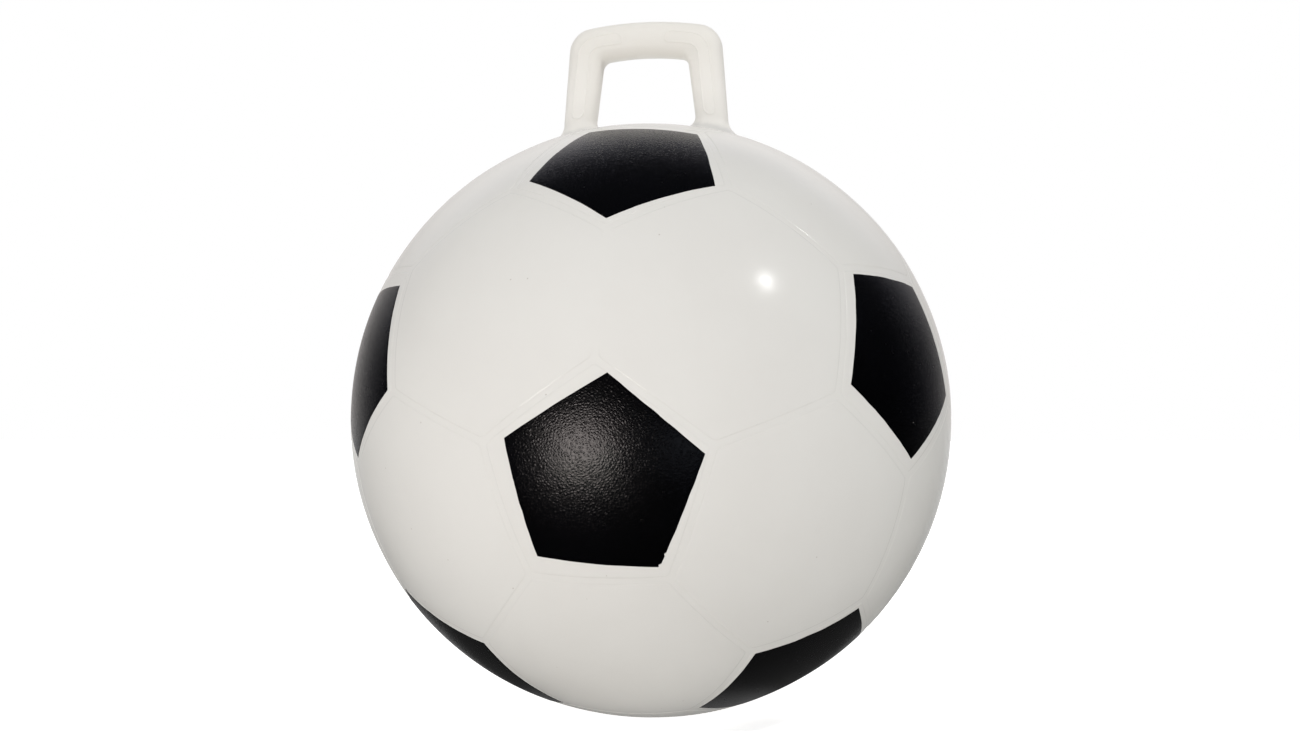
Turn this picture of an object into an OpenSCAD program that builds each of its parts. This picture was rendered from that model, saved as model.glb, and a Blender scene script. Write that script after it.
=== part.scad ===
// Hopper ball: a blown-up vinyl ball with a football pattern and a moulded
// loop handle, for sitting on and bouncing.
// The origin is on the floor under the middle of the ball, +Z is up, the
// loop of the handle lies along X, and the front of the ball faces -Y.

/* [Ball] */
// Diameter of the ball round its middle
ball_d = 460; // [400:5:650]
// How much less the ball measures from top to bottom than round its middle
ball_squat = 5.5; // [1:0.5:12]
// Thickness of the moulded vinyl skin
skin_t = 1.2; // [0.8:0.1:3]
// Depth by which the underside is pressed flat on the floor
floor_press = 0.7; // [0.3:0.1:1.5]

/* [Panel pattern] */
// Width of the moulded channels between the panels
seam_w = 5; // [3:0.2:9]
// Depth of these channels in the skin
seam_depth = 0.3; // [0.1:0.05:0.5]
// Distance from the middle of a seam to the black paint beside it
paint_inset = 9.6; // [6:0.2:14]
// Thickness of the black paint
paint_t = 0.3; // [0.1:0.05:0.6]
// Turn of the paint against the seams round it, in degrees
paint_turn = 2; // [0:0.5:6]
// The same turn on the front panel, in degrees
front_paint_turn = 4; // [0:0.5:6]
// Lean of the whole pattern towards +X, in degrees
pattern_lean = 0.8; // [0:0.1:3]

/* [Handle] */
// Height of the handle above the top of the ball
handle_h = 83.5; // [70:0.5:110]
// Width over the legs, level with the top of the ball
handle_foot_w = 130; // [120:1:150]
// Width over the legs, level with the top of the handle
handle_top_w = 117; // [108:1:125]
// Thickness of a leg level with the top of the ball, seen from the front
leg_foot_t = 24.6; // [20:0.2:30]
// Thickness of a leg level with the top of the handle, seen from the front
leg_top_t = 29; // [24:0.2:34]
// Height of the bar's cross-section
bar_t = 27; // [22:0.5:34]
// Depth of the handle from front to back
handle_d = 28; // [22:0.5:36]
// Wall of the hollow handle
handle_wall = 2.6; // [1.5:0.1:4]
// Radius of the arched top of the bar
bar_top_r = 269; // [200:1:500]
// Radius of the arched underside of the bar
bar_under_r = 201; // [180:1:400]
// Radius of the two outer corners
corner_out_r = 19.6; // [14:0.2:24]
// Radius of the two inner corners
corner_in_r = 7; // [4:0.5:11]
// Radius of the fillet between a leg and the ball
foot_fillet = 8; // [5:0.5:11]
// Distance of the middle of the handle from the middle of the ball, towards -X
handle_offset = 4; // [0:0.5:6]
// Diameter of the air way from the ball into each leg
leg_port_d = 12; // [8:0.5:15]

/* [Valve] */
// Angle of the valve from the top of the ball, on the back, in degrees
valve_tilt = 41.8; // [38:0.2:46]
// Diameter of the hole in the skin for the valve
valve_hole_d = 22; // [20:0.5:28]
// Diameter of the flange that is welded under the skin
valve_flange_d = 38; // [34:0.5:46]
// Thickness of that flange
valve_flange_t = 1.6; // [1:0.1:2.5]
// Diameter of the bore that the plug closes
valve_bore_d = 9; // [7:0.1:11]
// Depth of the valve below the skin
valve_depth = 20; // [17:0.5:26]
// Diameter of the cap of the plug
plug_cap_d = 16; // [14:0.2:17.5]
// Thickness of the cap of the plug
plug_cap_t = 2; // [1.5:0.1:2.8]
// Length of the plug's stem below its cap
plug_stem_l = 15; // [12:0.5:16]

/* [Hidden] */
$fn = 96;

// Clearances and overruns
fit_clear = 0.05;      // stem in its bore, on the radius
part_clear = 0.3;      // loose neighbours
film_clear = 0.05;     // paint, welds and feet on the skin
cut_over = 1;          // overrun of a cut past a face

// Ball
polar_r = (ball_d - ball_squat) / 2;
squat_r = ball_squat / 2;
centre_z = polar_r - floor_press;

// Pattern: twelve pentagons and twenty hexagons, with a hexagon on top
polar_a = acos(sqrt((5 + 2 * sqrt(5)) / 15));
polar_b = acos(sqrt((5 - 2 * sqrt(5)) / 15));
third_turn_steps = [0, 120, 240];
sixth_turn_steps = [60, 180, 300];
function direction(polar, turn) = [sin(polar) * sin(turn), -sin(polar) * cos(turn), cos(polar)];
PENTAGONS = concat(
    [for (t = third_turn_steps) direction(polar_a, t)],
    [for (t = sixth_turn_steps) direction(polar_b, t)],
    [for (t = third_turn_steps) direction(180 - polar_b, t)],
    [for (t = sixth_turn_steps) direction(180 - polar_a, t)]);
front_panel = 6;
near_dot = 0.4;
function unit(v) = v / norm(v);
function neighbours(i) =
    [for (j = [0:len(PENTAGONS) - 1]) if (j != i && PENTAGONS[i] * PENTAGONS[j] > near_dot) j];
function corner(i, j) = unit(2 * PENTAGONS[i] + PENTAGONS[j]);
// Each seam as its two end corners
PENTAGON_SEAMS = [for (i = [0:len(PENTAGONS) - 1]) for (j = neighbours(i)) for (k = neighbours(i))
    if (j < k && PENTAGONS[j] * PENTAGONS[k] > near_dot) [corner(i, j), corner(i, k)]];
HEXAGON_SEAMS = [for (i = [0:len(PENTAGONS) - 1]) for (j = neighbours(i))
    if (i < j) [corner(i, j), corner(j, i)]];
SEAMS = concat(PENTAGON_SEAMS, HEXAGON_SEAMS);
seam_half_angle = acos(SEAMS[0][0] * SEAMS[0][1]) / 2;
corner_angle = acos(PENTAGONS[0] * corner(0, neighbours(0)[0]));
// Distance of the straight sides of the paint from the middle of its panel
side_angle = atan(tan(corner_angle) * cos(36));
paint_side = ball_d / 2 * sin(side_angle) - paint_inset;

// Turns local x, y and z onto three square directions
function turned(x, y, z) = [
    [x[0], y[0], z[0], 0],
    [x[1], y[1], z[1], 0],
    [x[2], y[2], z[2], 0],
    [0, 0, 0, 1]];

// Ball shape: a circle that is turned about an axis a little beside its middle,
// so the ball is squat. grow moves the surface out.
module ball_profile(grow) {
    r = polar_r + grow;
    translate([squat_r, 0])
        intersection() {
            circle(r = r, $fn = 180);
            translate([0, -r]) square([r + cut_over, 2 * r]);
        }
    translate([0, -r]) square([squat_r + film_clear, 2 * r]);
}

module ball_shape(grow) {
    rotate_extrude($fn = 180) ball_profile(grow);
}

// The half space above a height, as a block wider than the ball
module above(z) {
    translate([-ball_d, -ball_d, z]) cube([2 * ball_d, 2 * ball_d, 2 * ball_d]);
}

// A block along one seam, which reaches from under the channel's floor to
// outside the skin
module seam_block(ends) {
    z = unit(ends[0] + ends[1]);
    x = unit(ends[0] - ends[1]);
    y = cross(z, x);
    half_l = ball_d / 2 * sin(seam_half_angle);
    low = (polar_r - seam_depth) * cos(seam_half_angle) - seam_w;
    multmatrix(turned(x, y, z))
        translate([-half_l, -seam_w / 2, low])
            cube([2 * half_l, seam_w, ball_d / 2 + seam_w - low]);
}

// The channels along all seams, as what is cut from the skin
module seam_channels() {
    difference() {
        rotate([0, pattern_lean, 0])
            for (s = SEAMS) seam_block(s);
        ball_shape(-seam_depth);
    }
}

// A five-sided prism out through one pentagon, turned about its own middle
module panel_prism(i, turn) {
    z = PENTAGONS[i];
    x = unit(cross(cross(z, PENTAGONS[neighbours(i)[0]]), z));
    multmatrix(turned(x, cross(z, x), z))
        rotate([0, 0, -turn])
            cylinder(h = ball_d, r = paint_side / cos(36), $fn = 5);
}

// Handle outline, measured up from the top of the ball.
// A side is [half width at the bottom, half width at the top, arch height,
// arch radius, corner radius].
OUTER = [handle_foot_w / 2, handle_top_w / 2, handle_h, bar_top_r, corner_out_r];
INNER = [handle_foot_w / 2 - leg_foot_t, handle_top_w / 2 - leg_top_t, handle_h - bar_t,
    bar_under_r, corner_in_r];
function leg_lean(s) = atan((s[0] - s[1]) / handle_h);
function leg_x(s, z) = s[0] + (s[1] - s[0]) * z / handle_h;
// Centre of the corner's circle, which touches the leg's line and the arch
function corner_centre(s) =
    let (a = leg_lean(s),
         p = [s[0], 0] - s[4] * [cos(a), sin(a)],
         u = [-sin(a), cos(a)],
         w = p - [0, s[2] - s[3]],
         b = w * u,
         c = w * w - pow(s[3] - s[4], 2))
    p + (sqrt(b * b - c) - b) * u;
function arch_end(s) =
    let (c = corner_centre(s)) atan2(c[0], c[1] - s[2] + s[3]);
function leg_end_z(s) = corner_centre(s)[1] + s[4] * sin(leg_lean(s));
// Height of the ball's surface against its top, at a distance from its axis
function dip(rho) = sqrt(pow(polar_r, 2) - pow(max(rho - squat_r, 0), 2)) - polar_r;
function seat_z(x, y) = dip(norm([x - handle_offset, y]));
// The outline runs over the arch (q 0 to 1), round the corner (1 to 2) and
// down the leg (2 to 3), where the fillet begins.
function leg_low_z(s) = seat_z(s[0], 0) + foot_fillet;
function outline(s, q) =
    q <= 1 ? [0, s[2] - s[3]] + s[3] * [sin(q * arch_end(s)), cos(q * arch_end(s))]
    : q <= 2 ? let (t = arch_end(s) + (q - 1) * (90 - leg_lean(s) - arch_end(s)))
        corner_centre(s) + s[4] * [sin(t), cos(t)]
    : let (z = leg_end_z(s) + (q - 2) * (leg_low_z(s) - leg_end_z(s))) [leg_x(s, z), z];

// Cross-section: a rounded shape between a circle and a rectangle
section_power_share = 0.8;
section_sides = 24;
function bent(v) = sign(v) * pow(abs(v), section_power_share);
SECTION = [for (k = [0:section_sides - 1])
    [bent(cos(360 * k / section_sides)), bent(sin(360 * k / section_sides))]];

// One ring across the outline at q, drawn in by wall
function ring(q, wall) =
    let (o = outline(OUTER, q), i = outline(INNER, q), half = (o - i) / 2,
         in = unit(half) * (norm(half) - wall), mid = (o + i) / 2)
    [for (p = SECTION) [mid[0] + in[0] * p[0], p[1] * (handle_d / 2 - wall), mid[1] + in[1] * p[0]]];
// One ring in the fillet, at height h above the ball, wider by flare
function foot_ring(h, flare) =
    let (zo = seat_z(OUTER[0], 0) + h, zi = seat_z(INNER[0], 0) + h,
         xo = leg_x(OUTER, zo) + flare, xi = leg_x(INNER, zi) - flare)
    [for (p = SECTION)
        let (x = (xo + xi) / 2 + (xo - xi) / 2 * p[0], y = p[1] * (handle_d / 2 + flare))
        [x, y, seat_z(x, y) + h]];
fillet_edge = foot_fillet / 10;
function fillet_flare(h) = foot_fillet - sqrt(pow(foot_fillet, 2) - pow(foot_fillet - h, 2));

arch_rings = 4;
corner_rings = 6;
leg_rings = 4;
fillet_height_shares = [0.7, 0.45, 0.25];
HALF_Q = concat(
    [for (k = [1:arch_rings]) k / arch_rings],
    [for (k = [1:corner_rings]) 1 + k / corner_rings],
    [for (k = [1:leg_rings]) 2 + k / leg_rings]);
OUTER_RINGS = concat([for (q = HALF_Q) ring(q, 0)],
    [for (f = fillet_height_shares) foot_ring(f * foot_fillet, fillet_flare(f * foot_fillet))],
    [foot_ring(fillet_edge, fillet_flare(fillet_edge))],
    [foot_ring(film_clear, fillet_flare(fillet_edge))]);
INNER_RINGS = concat([for (q = HALF_Q) ring(q, handle_wall)],
    [for (f = fillet_height_shares) foot_ring(f * foot_fillet, -handle_wall)],
    [foot_ring(fillet_edge, -handle_wall)],
    [foot_ring(film_clear, -handle_wall)]);
function mirrored(rings) =
    [for (k = [len(rings) - 1:-1:0]) [for (p = rings[k]) [-p[0], p[1], p[2]]]];
function whole(rings, middle) = concat(mirrored(rings), [middle], rings);
function flat(rings) = [for (r = rings) for (p = r) p];

// A hollow tube through two lists of rings, open at both ends
module tube(outside, inside) {
    n = section_sides;
    m = len(outside);
    base = m * n;
    function at(j, k) = j * n + k % n;
    faces = concat(
        [for (j = [0:m - 2]) for (k = [0:n - 1]) each [
            [at(j, k), at(j + 1, k), at(j + 1, k + 1)],
            [at(j, k), at(j + 1, k + 1), at(j, k + 1)],
            [base + at(j, k), base + at(j + 1, k + 1), base + at(j + 1, k)],
            [base + at(j, k), base + at(j, k + 1), base + at(j + 1, k + 1)]]],
        [for (k = [0:n - 1]) each [
            [at(0, k), at(0, k + 1), base + at(0, k + 1)],
            [at(0, k), base + at(0, k + 1), base + at(0, k)],
            [at(m - 1, k), base + at(m - 1, k + 1), at(m - 1, k + 1)],
            [at(m - 1, k), base + at(m - 1, k), base + at(m - 1, k + 1)]]]);
    polyhedron(points = concat(flat(outside), flat(inside)), faces = faces, convexity = 6);
}

// Middles of the legs where they meet the ball
leg_mid = (OUTER[0] + INNER[0]) / 2;

// Valve: the axis stands square to the skin at the middle of a back panel
valve_rho = squat_r + polar_r * sin(valve_tilt);
valve_z = polar_r * cos(valve_tilt);
valve_neck_d = valve_hole_d - 2 * film_clear;
valve_body_d = valve_bore_d * 2;
cap_pocket_d = plug_cap_d + 2 * part_clear;
cap_pocket_depth = plug_cap_t;
plug_stem_d = valve_bore_d - 2 * fit_clear;
plug_core_d = plug_stem_d * 0.5;
plug_groove_depth = plug_stem_d / 20;
plug_groove_w = plug_stem_l / 12;
groove_place_shares = [0.3, 0.5, 0.7];
pry_notch_w = plug_cap_d / 4;

// Moves from the valve's own frame, with its skin at z 0, to the ball's
module at_valve() {
    translate([0, valve_rho, valve_z]) rotate([-valve_tilt, 0, 0]) children();
}

// Raises a piece that is drawn about the middle of the ball onto the floor
module on_floor() {
    translate([0, 0, centre_z]) children();
}

// Hollow skin with the channels of its seams, a flat underside, the air ways
// into the handle and the hole for the valve
module ball_skin() {
    color([0.88, 0.88, 0.86])
        on_floor()
            difference() {
                intersection() {
                    ball_shape(0);
                    above(-centre_z);
                }
                seam_channels();
                intersection() {
                    ball_shape(-skin_t);
                    above(skin_t - centre_z);
                }
                for (side = [-1, 1])
                    translate([side * leg_mid - handle_offset, 0, 0])
                        cylinder(h = ball_d, d = leg_port_d);
                at_valve()
                    translate([0, 0, -valve_depth])
                        cylinder(h = 2 * valve_depth, d = valve_hole_d);
            }
}

// Black paint on the twelve pentagons
module black_panels() {
    color([0.05, 0.05, 0.06])
        on_floor()
            for (i = [0:len(PENTAGONS) - 1])
                intersection() {
                    difference() {
                        ball_shape(film_clear + paint_t);
                        ball_shape(film_clear);
                    }
                    rotate([0, pattern_lean, 0])
                        panel_prism(i, i == front_panel ? front_paint_turn : paint_turn);
                }
}

// Hollow loop handle, with a fillet at each foot
module grip_handle() {
    color([0.91, 0.9, 0.86])
        translate([-handle_offset, 0, centre_z + polar_r])
            tube(whole(OUTER_RINGS, ring(0, 0)), whole(INNER_RINGS, ring(0, handle_wall)));
}

// Soft seat that is welded into the skin, with the bore for the plug
module valve_seat() {
    color([0.8, 0.8, 0.78])
        on_floor()
            difference() {
                union() {
                    intersection() {
                        difference() {
                            ball_shape(-skin_t - film_clear);
                            ball_shape(-skin_t - film_clear - valve_flange_t);
                        }
                        at_valve()
                            translate([0, 0, -valve_depth])
                                cylinder(h = 2 * valve_depth, d = valve_flange_d);
                    }
                    at_valve()
                        translate([0, 0, -skin_t - valve_flange_t])
                            cylinder(h = skin_t + valve_flange_t, d = valve_neck_d);
                    at_valve()
                        translate([0, 0, -valve_depth])
                            cylinder(h = valve_depth - skin_t, d = valve_body_d);
                }
                at_valve() {
                    translate([0, 0, -valve_depth - cut_over])
                        cylinder(h = valve_depth + 2 * cut_over, d = valve_bore_d);
                    translate([0, 0, -cap_pocket_depth])
                        cylinder(h = cap_pocket_depth + cut_over, d = cap_pocket_d);
                }
            }
}

// Push-in plug: a round cap with a notch to lift it by, on a grooved stem
module valve_plug() {
    color([0.93, 0.93, 0.92])
        on_floor()
            at_valve()
                translate([0, 0, part_clear - cap_pocket_depth])
                    difference() {
                        union() {
                            cylinder(h = plug_cap_t, d = plug_cap_d);
                            translate([0, 0, -plug_stem_l])
                                cylinder(h = plug_stem_l + plug_cap_t / 2, d = plug_stem_d);
                        }
                        translate([0, 0, -plug_stem_l - cut_over])
                            cylinder(h = plug_stem_l + cut_over, d = plug_core_d);
                        for (s = groove_place_shares)
                            translate([0, 0, -plug_stem_l * s - plug_groove_w / 2])
                                difference() {
                                    cylinder(h = plug_groove_w, d = plug_stem_d + cut_over);
                                    translate([0, 0, -cut_over])
                                        cylinder(h = plug_groove_w + 2 * cut_over,
                                            d = plug_stem_d - 2 * plug_groove_depth);
                                }
                        translate([plug_cap_d / 2, 0, 0])
                            cylinder(h = 2 * plug_cap_t, d = pry_notch_w, center = true);
                    }
}

ball_skin();
black_panels();
grip_handle();
valve_seat();
valve_plug();
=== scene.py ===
"""Looks of a hopper ball: a blown vinyl ball with a football pattern and a loop handle.

The ball's surface is one formula, BallShape. The channels of the seams, the paint and the feet of
the handle are laid on it, so they all follow the same slightly uneven skin. The valve stands on
its even form.
"""

import logging
import math
from dataclasses import dataclass, field
from enum import Enum
from typing import Callable, Sequence

import bmesh
import bpy
import numpy as np
from mathutils import Matrix, Quaternion, Vector


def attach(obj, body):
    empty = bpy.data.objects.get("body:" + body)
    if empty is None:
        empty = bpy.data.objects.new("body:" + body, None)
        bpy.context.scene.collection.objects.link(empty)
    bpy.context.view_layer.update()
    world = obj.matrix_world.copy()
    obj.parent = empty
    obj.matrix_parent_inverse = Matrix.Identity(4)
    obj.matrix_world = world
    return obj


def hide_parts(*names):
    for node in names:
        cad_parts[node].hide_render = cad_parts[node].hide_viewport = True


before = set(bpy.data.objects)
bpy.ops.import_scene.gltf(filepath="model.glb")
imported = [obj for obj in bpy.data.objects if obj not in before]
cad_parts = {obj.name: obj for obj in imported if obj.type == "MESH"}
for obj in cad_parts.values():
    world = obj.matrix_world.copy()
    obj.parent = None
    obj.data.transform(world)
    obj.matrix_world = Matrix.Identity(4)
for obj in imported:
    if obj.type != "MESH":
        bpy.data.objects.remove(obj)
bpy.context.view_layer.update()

MM = 0.001
log = logging.getLogger("hopper_ball")


class Body(Enum):
    """The rigid bodies that the pieces ride on."""

    BALL = "ball"
    PLUG = "plug"


class Slot(Enum):
    """The material slots of the record."""

    WHITE_VINYL = "white_vinyl"
    BLACK_PAINT = "black_paint"
    CREAM_VINYL = "cream_vinyl"
    SOFT_VINYL = "soft_vinyl"
    PLUG_PLASTIC = "plug_plastic"


def unit(v: np.ndarray) -> np.ndarray:
    """Scales vectors to length one.

    Args:
        v: One vector or an array with a vector in each row.

    Returns:
        The same directions with length one.
    """
    return v / np.linalg.norm(v, axis=-1, keepdims=True)


def smooth_step(low: float, high: float, x: np.ndarray) -> np.ndarray:
    """Rises softly from 0 at low to 1 at high.

    Args:
        low: Where the rise starts.
        high: Where it ends.
        x: Values to map.

    Returns:
        Values from 0 to 1.
    """
    t = np.clip((x - low) / (high - low), 0.0, 1.0)
    return t * t * (3.0 - 2.0 * t)


class Waves:
    """A sum of long waves in space, which makes a blown or brushed surface a little uneven."""

    def __init__(self, seed: int, shortest: float, longest: float, count: int) -> None:
        """Draws the waves.

        Args:
            seed: Seed of the draw, so that each run gives the same waves.
            shortest: Shortest wavelength in metres.
            longest: Longest wavelength in metres.
            count: Number of waves.
        """
        rng = np.random.default_rng(seed)
        lengths = rng.uniform(shortest, longest, count)
        self.steps = unit(rng.normal(size=(count, 3))) * (2.0 * math.pi / lengths)[:, None]
        self.phases = rng.uniform(0.0, 2.0 * math.pi, count)

    def at(self, points: np.ndarray) -> np.ndarray:
        """Gives the waves' height at each point, mostly from -1 to 1."""
        waves = np.sin(points @ self.steps.T + self.phases)
        return waves.sum(axis=-1) / math.sqrt(len(self.phases))


@dataclass(frozen=True)
class BallShape:
    """The skin of the blown-up ball as a surface.

    Attributes:
        polar_r: Half of the ball's height.
        squat_r: How much more the ball measures from its axis to its widest part.
        centre_z: Height of the middle of the ball over the floor.
        crown_dip: How far the skin lies low between the feet of the handle.
        crown_reach: Distance from the axis at which that dip ends.
        ripple: Height of the skin's slight unevenness.
        waves: The form of that unevenness.
    """

    # Where the ball isn't flat the formula for its flat discs isn't used, and this keeps it finite.
    LEAST_COSINE = 0.5

    polar_r: float = 227.25 * MM
    squat_r: float = 2.75 * MM
    centre_z: float = 226.55 * MM
    crown_dip: float = 1.4 * MM
    crown_reach: float = 95.0 * MM
    ripple: float = 0.14 * MM
    waves: Waves = field(default_factory=lambda: Waves(11, 70 * MM, 190 * MM, 9))

    def lifted(self, directions: np.ndarray, lift: np.ndarray | float = 0.0) -> np.ndarray:
        """Places points on the skin or a little off it.

        Args:
            directions: Directions from the middle of the ball.
            lift: Distance out from the skin.

        Returns:
            Points in the part's frame.
        """
        d = unit(directions)
        rho = np.hypot(d[:, 0], d[:, 1])
        s, r = self.squat_r, self.polar_r
        t = rho * s + np.sqrt((rho * s) ** 2 - s * s + r * r)
        flat = t * rho < s
        t = np.where(flat, r / np.maximum(np.abs(d[:, 2]), self.LEAST_COSINE), t)
        points = d * t[:, None]
        inward = np.where(flat, 1.0, s / np.maximum(t * rho, s))
        normals = unit(points * np.stack([1 - inward, 1 - inward, np.ones_like(inward)], axis=1))
        out = lift + self.ripple * self.waves.at(points) - self._dip(points)
        points = points + normals * np.asarray(out)[:, None]
        points[:, 2] += self.centre_z
        return points

    def _dip(self, points: np.ndarray) -> np.ndarray:
        """Gives the dip of the crown at points round the middle of the ball."""
        share = np.clip(np.hypot(points[:, 0], points[:, 1]) / self.crown_reach, 0.0, 1.0)
        return np.where(points[:, 2] > 0, self.crown_dip * (1 - share**2) ** 2, 0.0)

    def crown_z(self, x: np.ndarray, y: np.ndarray) -> np.ndarray:
        """Gives the height of the upper skin over places seen from above.

        Args:
            x: Places along X.
            y: Places along Y.

        Returns:
            Heights over the floor.
        """
        rho = np.maximum(np.hypot(x, y) - self.squat_r, 0.0)
        z = np.sqrt(self.polar_r**2 - rho**2)
        points = np.stack([x, y, z], axis=1)
        out = self.ripple * self.waves.at(points) - self._dip(points)
        return z + out * self.polar_r / z + self.centre_z


@dataclass
class Panel:
    """One panel of the football pattern.

    Attributes:
        centre: Direction of its middle.
        corners: Directions of its corners in order.
    """

    centre: np.ndarray
    corners: np.ndarray

    def sector(self, k: int) -> tuple[np.ndarray, np.ndarray]:
        """Gives the two corners of side k."""
        return self.corners[k], self.corners[(k + 1) % len(self.corners)]

    def axes(self) -> tuple[np.ndarray, np.ndarray]:
        """Gives two square directions across the panel, the first towards its first corner."""
        x = self.corners[0] - self.centre * (self.corners[0] @ self.centre)
        x = unit(x)
        return x, np.cross(self.centre, x)


class FootballPattern:
    """Twelve pentagons and twenty hexagons, with a hexagon at the top and at the bottom."""

    # The middles of neighbouring pentagons have a larger dot product than this.
    NEAR = 0.4

    def __init__(self, lean: float) -> None:
        """Works out all panels.

        Args:
            lean: Turn of the whole pattern about Y in radians, towards +X.
        """
        upper = math.acos(math.sqrt((5 + 2 * math.sqrt(5)) / 15))
        lower = math.acos(math.sqrt((5 - 2 * math.sqrt(5)) / 15))
        rows = ((upper, 0), (lower, 60), (math.pi - lower, 0), (math.pi - upper, 60))
        turn = Matrix.Rotation(lean, 3, "Y")
        self.middles = np.array([
            turn @ Vector(self._direction(polar, math.radians(start + step)))
            for polar, start in rows for step in (0, 120, 240)])
        self.pentagons = [self._pentagon(i) for i in range(len(self.middles))]
        self.hexagons = self._hexagons()

    @staticmethod
    def _direction(polar: float, turn: float) -> tuple[float, float, float]:
        """Gives the direction at an angle from the top, turned from the front towards +X."""
        out = math.sin(polar)
        return out * math.sin(turn), -out * math.cos(turn), math.cos(polar)

    def _near(self, i: int) -> list[int]:
        """Lists the pentagons next to pentagon i."""
        return [j for j, middle in enumerate(self.middles)
                if j != i and middle @ self.middles[i] > self.NEAR]

    def _corner(self, i: int, j: int) -> np.ndarray:
        """Gives the corner of pentagon i that faces pentagon j."""
        return unit(2 * self.middles[i] + self.middles[j])

    @staticmethod
    def _ordered(centre: np.ndarray, corners: Sequence[np.ndarray]) -> np.ndarray:
        """Sorts corners round a centre, against the clock from outside, from near the first one.

        Args:
            centre: Direction of the panel's middle.
            corners: Directions of its corners.

        Returns:
            The sorted corners.
        """
        x = unit(corners[0] - centre * (corners[0] @ centre))
        y = np.cross(centre, x)
        angles = [math.atan2(c @ y, c @ x) % (2 * math.pi - 1e-6) for c in corners]
        return np.array([corners[k] for k in np.argsort(angles)])

    def _pentagon(self, i: int) -> Panel:
        """Makes the panel of pentagon i."""
        corners = [self._corner(i, j) for j in self._near(i)]
        return Panel(self.middles[i], self._ordered(self.middles[i], corners))

    def _hexagons(self) -> list[Panel]:
        """Makes every hexagon, each between three pentagons."""
        found = []
        for i in range(len(self.middles)):
            for j in self._near(i):
                for k in self._near(i):
                    if i < j < k and k in self._near(j):
                        centre = unit(self.middles[i] + self.middles[j] + self.middles[k])
                        pairs = ((i, j), (j, i), (j, k), (k, j), (k, i), (i, k))
                        corners = [self._corner(a, b) for a, b in pairs]
                        found.append(Panel(centre, self._ordered(centre, corners)))
        return found


class MeshMaker:
    """Collects grids of points and welds them into one mesh."""

    # Points closer than this become one, edges bent more than SHARP aren't shaded smooth, and
    # CREASES is the attribute that holds how far each point lies in a crease, which places the
    # painted shade there.
    WELD = 0.004 * MM
    SHARP = math.radians(50)
    CREASES = "creases"

    def __init__(self, name: str) -> None:
        """Starts an empty mesh.

        Args:
            name: Name of the piece.
        """
        self.name = name
        self.points: list[np.ndarray] = []
        self.faces: list[np.ndarray] = []
        self.marks: list[np.ndarray] = []
        self.count = 0

    def grid(self, points: np.ndarray, closed: bool = False, flip: bool = False,
             marks: np.ndarray | None = None) -> None:
        """Adds a grid of points as quads.

        Args:
            points: Array of rows, columns and three coordinates.
            closed: Whether the last column joins the first.
            flip: Whether to turn the faces over.
            marks: How far each point lies in a crease, none if left out.
        """
        rows, columns = points.shape[:2]
        index = self.count + np.arange(rows * columns).reshape(rows, columns)
        following = np.roll(index, -1, axis=1)
        if not closed:
            index, following = index[:, :-1], following[:, :-1]
        quads = np.stack([index[:-1], following[:-1], following[1:], index[1:]], axis=-1)
        quads = quads.reshape(-1, 4)
        self.faces.append(quads[:, ::-1] if flip else quads)
        self.points.append(points.reshape(-1, 3))
        self.marks.append(np.zeros(rows * columns) if marks is None else marks)
        self.count += rows * columns

    def cap(self, ring: np.ndarray, flip: bool = False) -> None:
        """Closes a ring of points with a fan round its middle."""
        middle = np.repeat(ring.mean(axis=0)[None], len(ring), axis=0)
        self.grid(np.stack([ring, middle]), closed=True, flip=flip)

    def build(self) -> bpy.types.Object:
        """Welds the grids and links the piece to the scene.

        Returns:
            The new object, smooth shaded.
        """
        mesh = bpy.data.meshes.new(self.name)
        mesh.from_pydata(np.concatenate(self.points).tolist(), [],
                         np.concatenate(self.faces).tolist())
        marks = mesh.attributes.new(self.CREASES, "FLOAT", "POINT")
        marks.data.foreach_set("value", np.concatenate(self.marks).astype(np.float32))
        work = bmesh.new()
        work.from_mesh(mesh)
        bmesh.ops.remove_doubles(work, verts=work.verts, dist=self.WELD)
        bmesh.ops.dissolve_degenerate(work, edges=work.edges, dist=self.WELD / 10)
        work.to_mesh(mesh)
        work.free()
        mesh.shade_smooth()
        mesh.set_sharp_from_angle(angle=self.SHARP)
        piece = bpy.data.objects.new(self.name, mesh)
        bpy.context.scene.collection.objects.link(piece)
        return piece


Outline = Sequence[tuple[float, float]]


def lathe(name: str, profile: Outline, at: Matrix, sides: int,
          reach: Callable[[np.ndarray, float], np.ndarray] | None = None) -> bpy.types.Object:
    """Turns a closed profile about a local Z axis.

    Args:
        name: Name of the piece.
        profile: Radius and height of each point in metres, in order round the section.
        at: Where the local frame stands.
        sides: Number of steps round the axis.
        reach: Optional change of the radius, given the angles and the radius.

    Returns:
        The new object.
    """
    angles = np.linspace(0.0, 2.0 * math.pi, sides, endpoint=False)
    rows = []
    for radius, height in list(profile) + [profile[0]]:
        r = np.full(sides, radius) if reach is None else reach(angles, radius)
        x, y = r * np.cos(angles), r * np.sin(angles)
        rows.append(np.stack([x, y, np.full(sides, height)], axis=1))
    turned = np.array(rows) @ np.array(at.to_3x3()).T + np.array(at.translation)
    maker = MeshMaker(name)
    maker.grid(turned, closed=True)
    return maker.build()


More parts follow.
